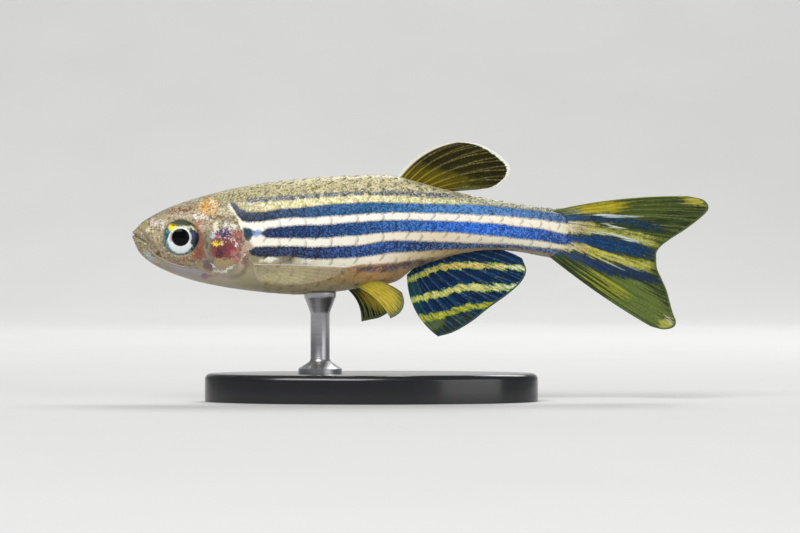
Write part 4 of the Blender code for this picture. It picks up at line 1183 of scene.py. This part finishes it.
# %% [markdown]
# ## The stand
# The stand is a polished black oval and one satin steel rod that ends in a small cup under the belly.
# Both are turned shapes: the base is a disc stretched to an oval with a rounded upper edge, and the
# rod is one outline spun round.

# %% Stand
ROD_X = 14.6
ROD_RADIUS = 0.75
CUP_RADIUS = 1.25
CUP_HEIGHT = 1.5
FOOT_RADIUS = 1.7
FOOT_HEIGHT = 0.7
BASE_SIZE = (26.0, 13.0, 2.2)
BASE_MIDDLE = 18.6
BASE_BEVEL = 0.5
BASE_STEPS = 160


def base_material():
    r = Recipe("stand_base_finish")
    colour = r.paint(r.noise(2.5, detail=3.0), "#0b0c0e", "#17181b")
    r.raise_surface(r.noise(0.8, detail=3.0), 0.004)
    wear = r.scaled(r.noise(1.6, detail=4.0), 0.12, 0.16)
    return r.finish(colour, wear, Coat_Weight=0.3, Coat_Roughness=0.08)


def rod_material():
    r = Recipe("stand_rod_finish")
    brushing = r.noise(0.5, detail=4.0, stretch=(3.0, 3.0, 0.08))
    colour = r.paint(brushing, "#8f9093", "#b9babc")
    r.raise_surface(brushing, 0.006)
    return r.finish(colour, r.scaled(brushing, 0.2, 0.22), Metallic=1.0)


base = bmesh.new()
bmesh.ops.create_cone(base, cap_ends=True, segments=BASE_STEPS, radius1=0.5, radius2=0.5, depth=1.0)
long, wide, high = BASE_SIZE
place = Matrix.Translation((BASE_MIDDLE, 0.0, high / 2 - AXIS_HEIGHT))
bmesh.ops.transform(base, matrix=place @ Matrix.Diagonal((long, wide, high, 1.0)), verts=base.verts)
upper_rim = [e for e in base.edges if all(v.co.z > high / 2 - AXIS_HEIGHT for v in e.verts)]
bmesh.ops.bevel(
    base, geom=upper_rim, offset=BASE_BEVEL, offset_type="OFFSET", affect="EDGES", segments=8,
    profile=0.5, material=-1, clamp_overlap=True)
base_piece = settle("danio_stand_base", base, base_material(), ["stand_base"], swings=False)
base_piece.data.set_sharp_from_angle(angle=math.radians(35))

belly_height = section(ROD_X)[3] - section(ROD_X)[2]
foot = BASE_SIZE[2] - AXIS_HEIGHT
rod = spun_mesh([
    (0.0, belly_height + 0.35), (CUP_RADIUS - 0.1, belly_height + 0.2), (CUP_RADIUS, belly_height + 0.1),
    (CUP_RADIUS, belly_height - 0.25), (CUP_RADIUS - 0.06, belly_height - 0.33),
    (ROD_RADIUS + 0.04, belly_height - CUP_HEIGHT + 0.1), (ROD_RADIUS, belly_height - CUP_HEIGHT),
    (ROD_RADIUS, foot + FOOT_HEIGHT + 0.4), (ROD_RADIUS + 0.1, foot + FOOT_HEIGHT + 0.2),
    (FOOT_RADIUS - 0.15, foot + FOOT_HEIGHT * 0.65), (FOOT_RADIUS, foot + FOOT_HEIGHT * 0.5),
    (FOOT_RADIUS, foot - 0.1), (0.0, foot - 0.1),
])
bmesh.ops.translate(rod, verts=rod.verts, vec=(ROD_X, swing(ROD_X), 0.0))
rod_piece = settle("danio_stand_rod", rod, rod_material(), ["stand_rod"], swings=False)
rod_piece.data.set_sharp_from_angle(angle=math.radians(40))

# %% [markdown]
# ## Floor, light and camera
# The model is seen exactly from its left side, as in the photo. A long lens from a little distance
# keeps the outline true. The floor sweeps up behind into a plain pale wall, a large soft light hangs
# over the camera's shoulder, two weaker ones fill the shade and draw the edge of the back, and a fourth
# one lights the wall.

# %% Floor
FLOOR_REACH = 0.9
WALL_PLACE = 0.36
SWEEP_RADIUS = 0.4
SWEEP_STEPS = 40


def floor_material():
    r = Recipe("studio_paper")
    colour = r.paint(r.noise(30.0, detail=2.0), "#cfcfcd", "#d6d6d4")
    return r.finish(colour, 0.85)


sweep = bmesh.new()
first = sweep.verts.new((-FLOOR_REACH, -FLOOR_REACH, 0.0))
second = sweep.verts.new((-FLOOR_REACH, WALL_PLACE, 0.0))
sweep.edges.new((first, second))
bmesh.ops.spin(
    sweep, geom=[second], cent=(0.0, WALL_PLACE, SWEEP_RADIUS), axis=(1, 0, 0), angle=math.pi / 2,
    steps=SWEEP_STEPS)
sweep.verts.ensure_lookup_table()
highest = max(sweep.verts, key=lambda v: v.co.z)
sweep.edges.new((highest, sweep.verts.new(highest.co + Vector((0, 0, FLOOR_REACH)))))
swept = bmesh.ops.extrude_edge_only(sweep, edges=sweep.edges[:])["geom"]
moved = [v for v in swept if isinstance(v, bmesh.types.BMVert)]
bmesh.ops.translate(sweep, verts=moved, vec=(2 * FLOOR_REACH, 0, 0))
bmesh.ops.recalc_face_normals(sweep, faces=sweep.faces)
floor_mesh = bpy.data.meshes.new("studio_sweep")
sweep.to_mesh(floor_mesh)
sweep.free()
floor_mesh.shade_smooth()
floor_mesh.materials.append(floor_material())
floor = bpy.data.objects.new("studio_sweep", floor_mesh)
bpy.context.scene.collection.objects.link(floor)


# %% Lights
def soft_light(name, place, aim, size, watts):
    light = bpy.data.lights.new(name, "AREA")
    light.shape = "RECTANGLE"
    light.size, light.size_y = size
    light.energy = watts
    lamp = bpy.data.objects.new(name, light)
    lamp.location = place
    lamp.rotation_euler = (Vector(aim) - Vector(place)).to_track_quat("-Z", "Y").to_euler()
    bpy.context.scene.collection.objects.link(lamp)


middle = (-0.002, 0.0, 0.012)
soft_light("main_light", (-0.12, -0.26, 0.3), middle, (0.26, 0.2), 1.15)
soft_light("fill_light", (0.3, -0.3, 0.12), middle, (0.3, 0.3), 0.45)
soft_light("back_light", (0.1, 0.25, 0.3), middle, (0.3, 0.12), 0.8)
soft_light("wall_light", (0.0, 0.3, 0.5), (0.0, 0.8, 0.12), (0.6, 0.2), 2.0)
world = bpy.data.worlds.new("studio_air")
world.use_nodes = True
world.node_tree.nodes["Background"].inputs["Color"].default_value = (0.95, 0.97, 1.0, 1.0)
world.node_tree.nodes["Background"].inputs["Strength"].default_value = 0.28
bpy.context.scene.world = world
bpy.context.scene.view_settings.view_transform = "Standard"

# %% Camera
PHOTO_WIDTH, PHOTO_HEIGHT = 800, 533
SNOUT_PIXEL, TAIL_PIXEL, AXIS_PIXEL = 133, 711, 236
LENS = 150.0
SENSOR = 36.0

pixel = TOTAL_LENGTH / (TAIL_PIXEL - SNOUT_PIXEL)
aim_x = (PHOTO_WIDTH / 2 - SNOUT_PIXEL) * pixel - TOTAL_LENGTH / 2
aim_z = AXIS_HEIGHT + (AXIS_PIXEL - PHOTO_HEIGHT / 2) * pixel
distance = PHOTO_WIDTH * pixel * LENS / SENSOR
camera_data = bpy.data.cameras.new("camera")
camera_data.lens = LENS
camera_data.sensor_width = SENSOR
camera_data.clip_start = 0.01
camera = bpy.data.objects.new("camera", camera_data)
camera.location = Vector((aim_x, -distance, aim_z)) * MM
camera.rotation_euler = (math.radians(90), 0.0, 0.0)
bpy.context.scene.collection.objects.link(camera)
bpy.context.scene.camera = camera
print("camera stands", round(distance), "mm away, at height", round(aim_z, 1), "mm")
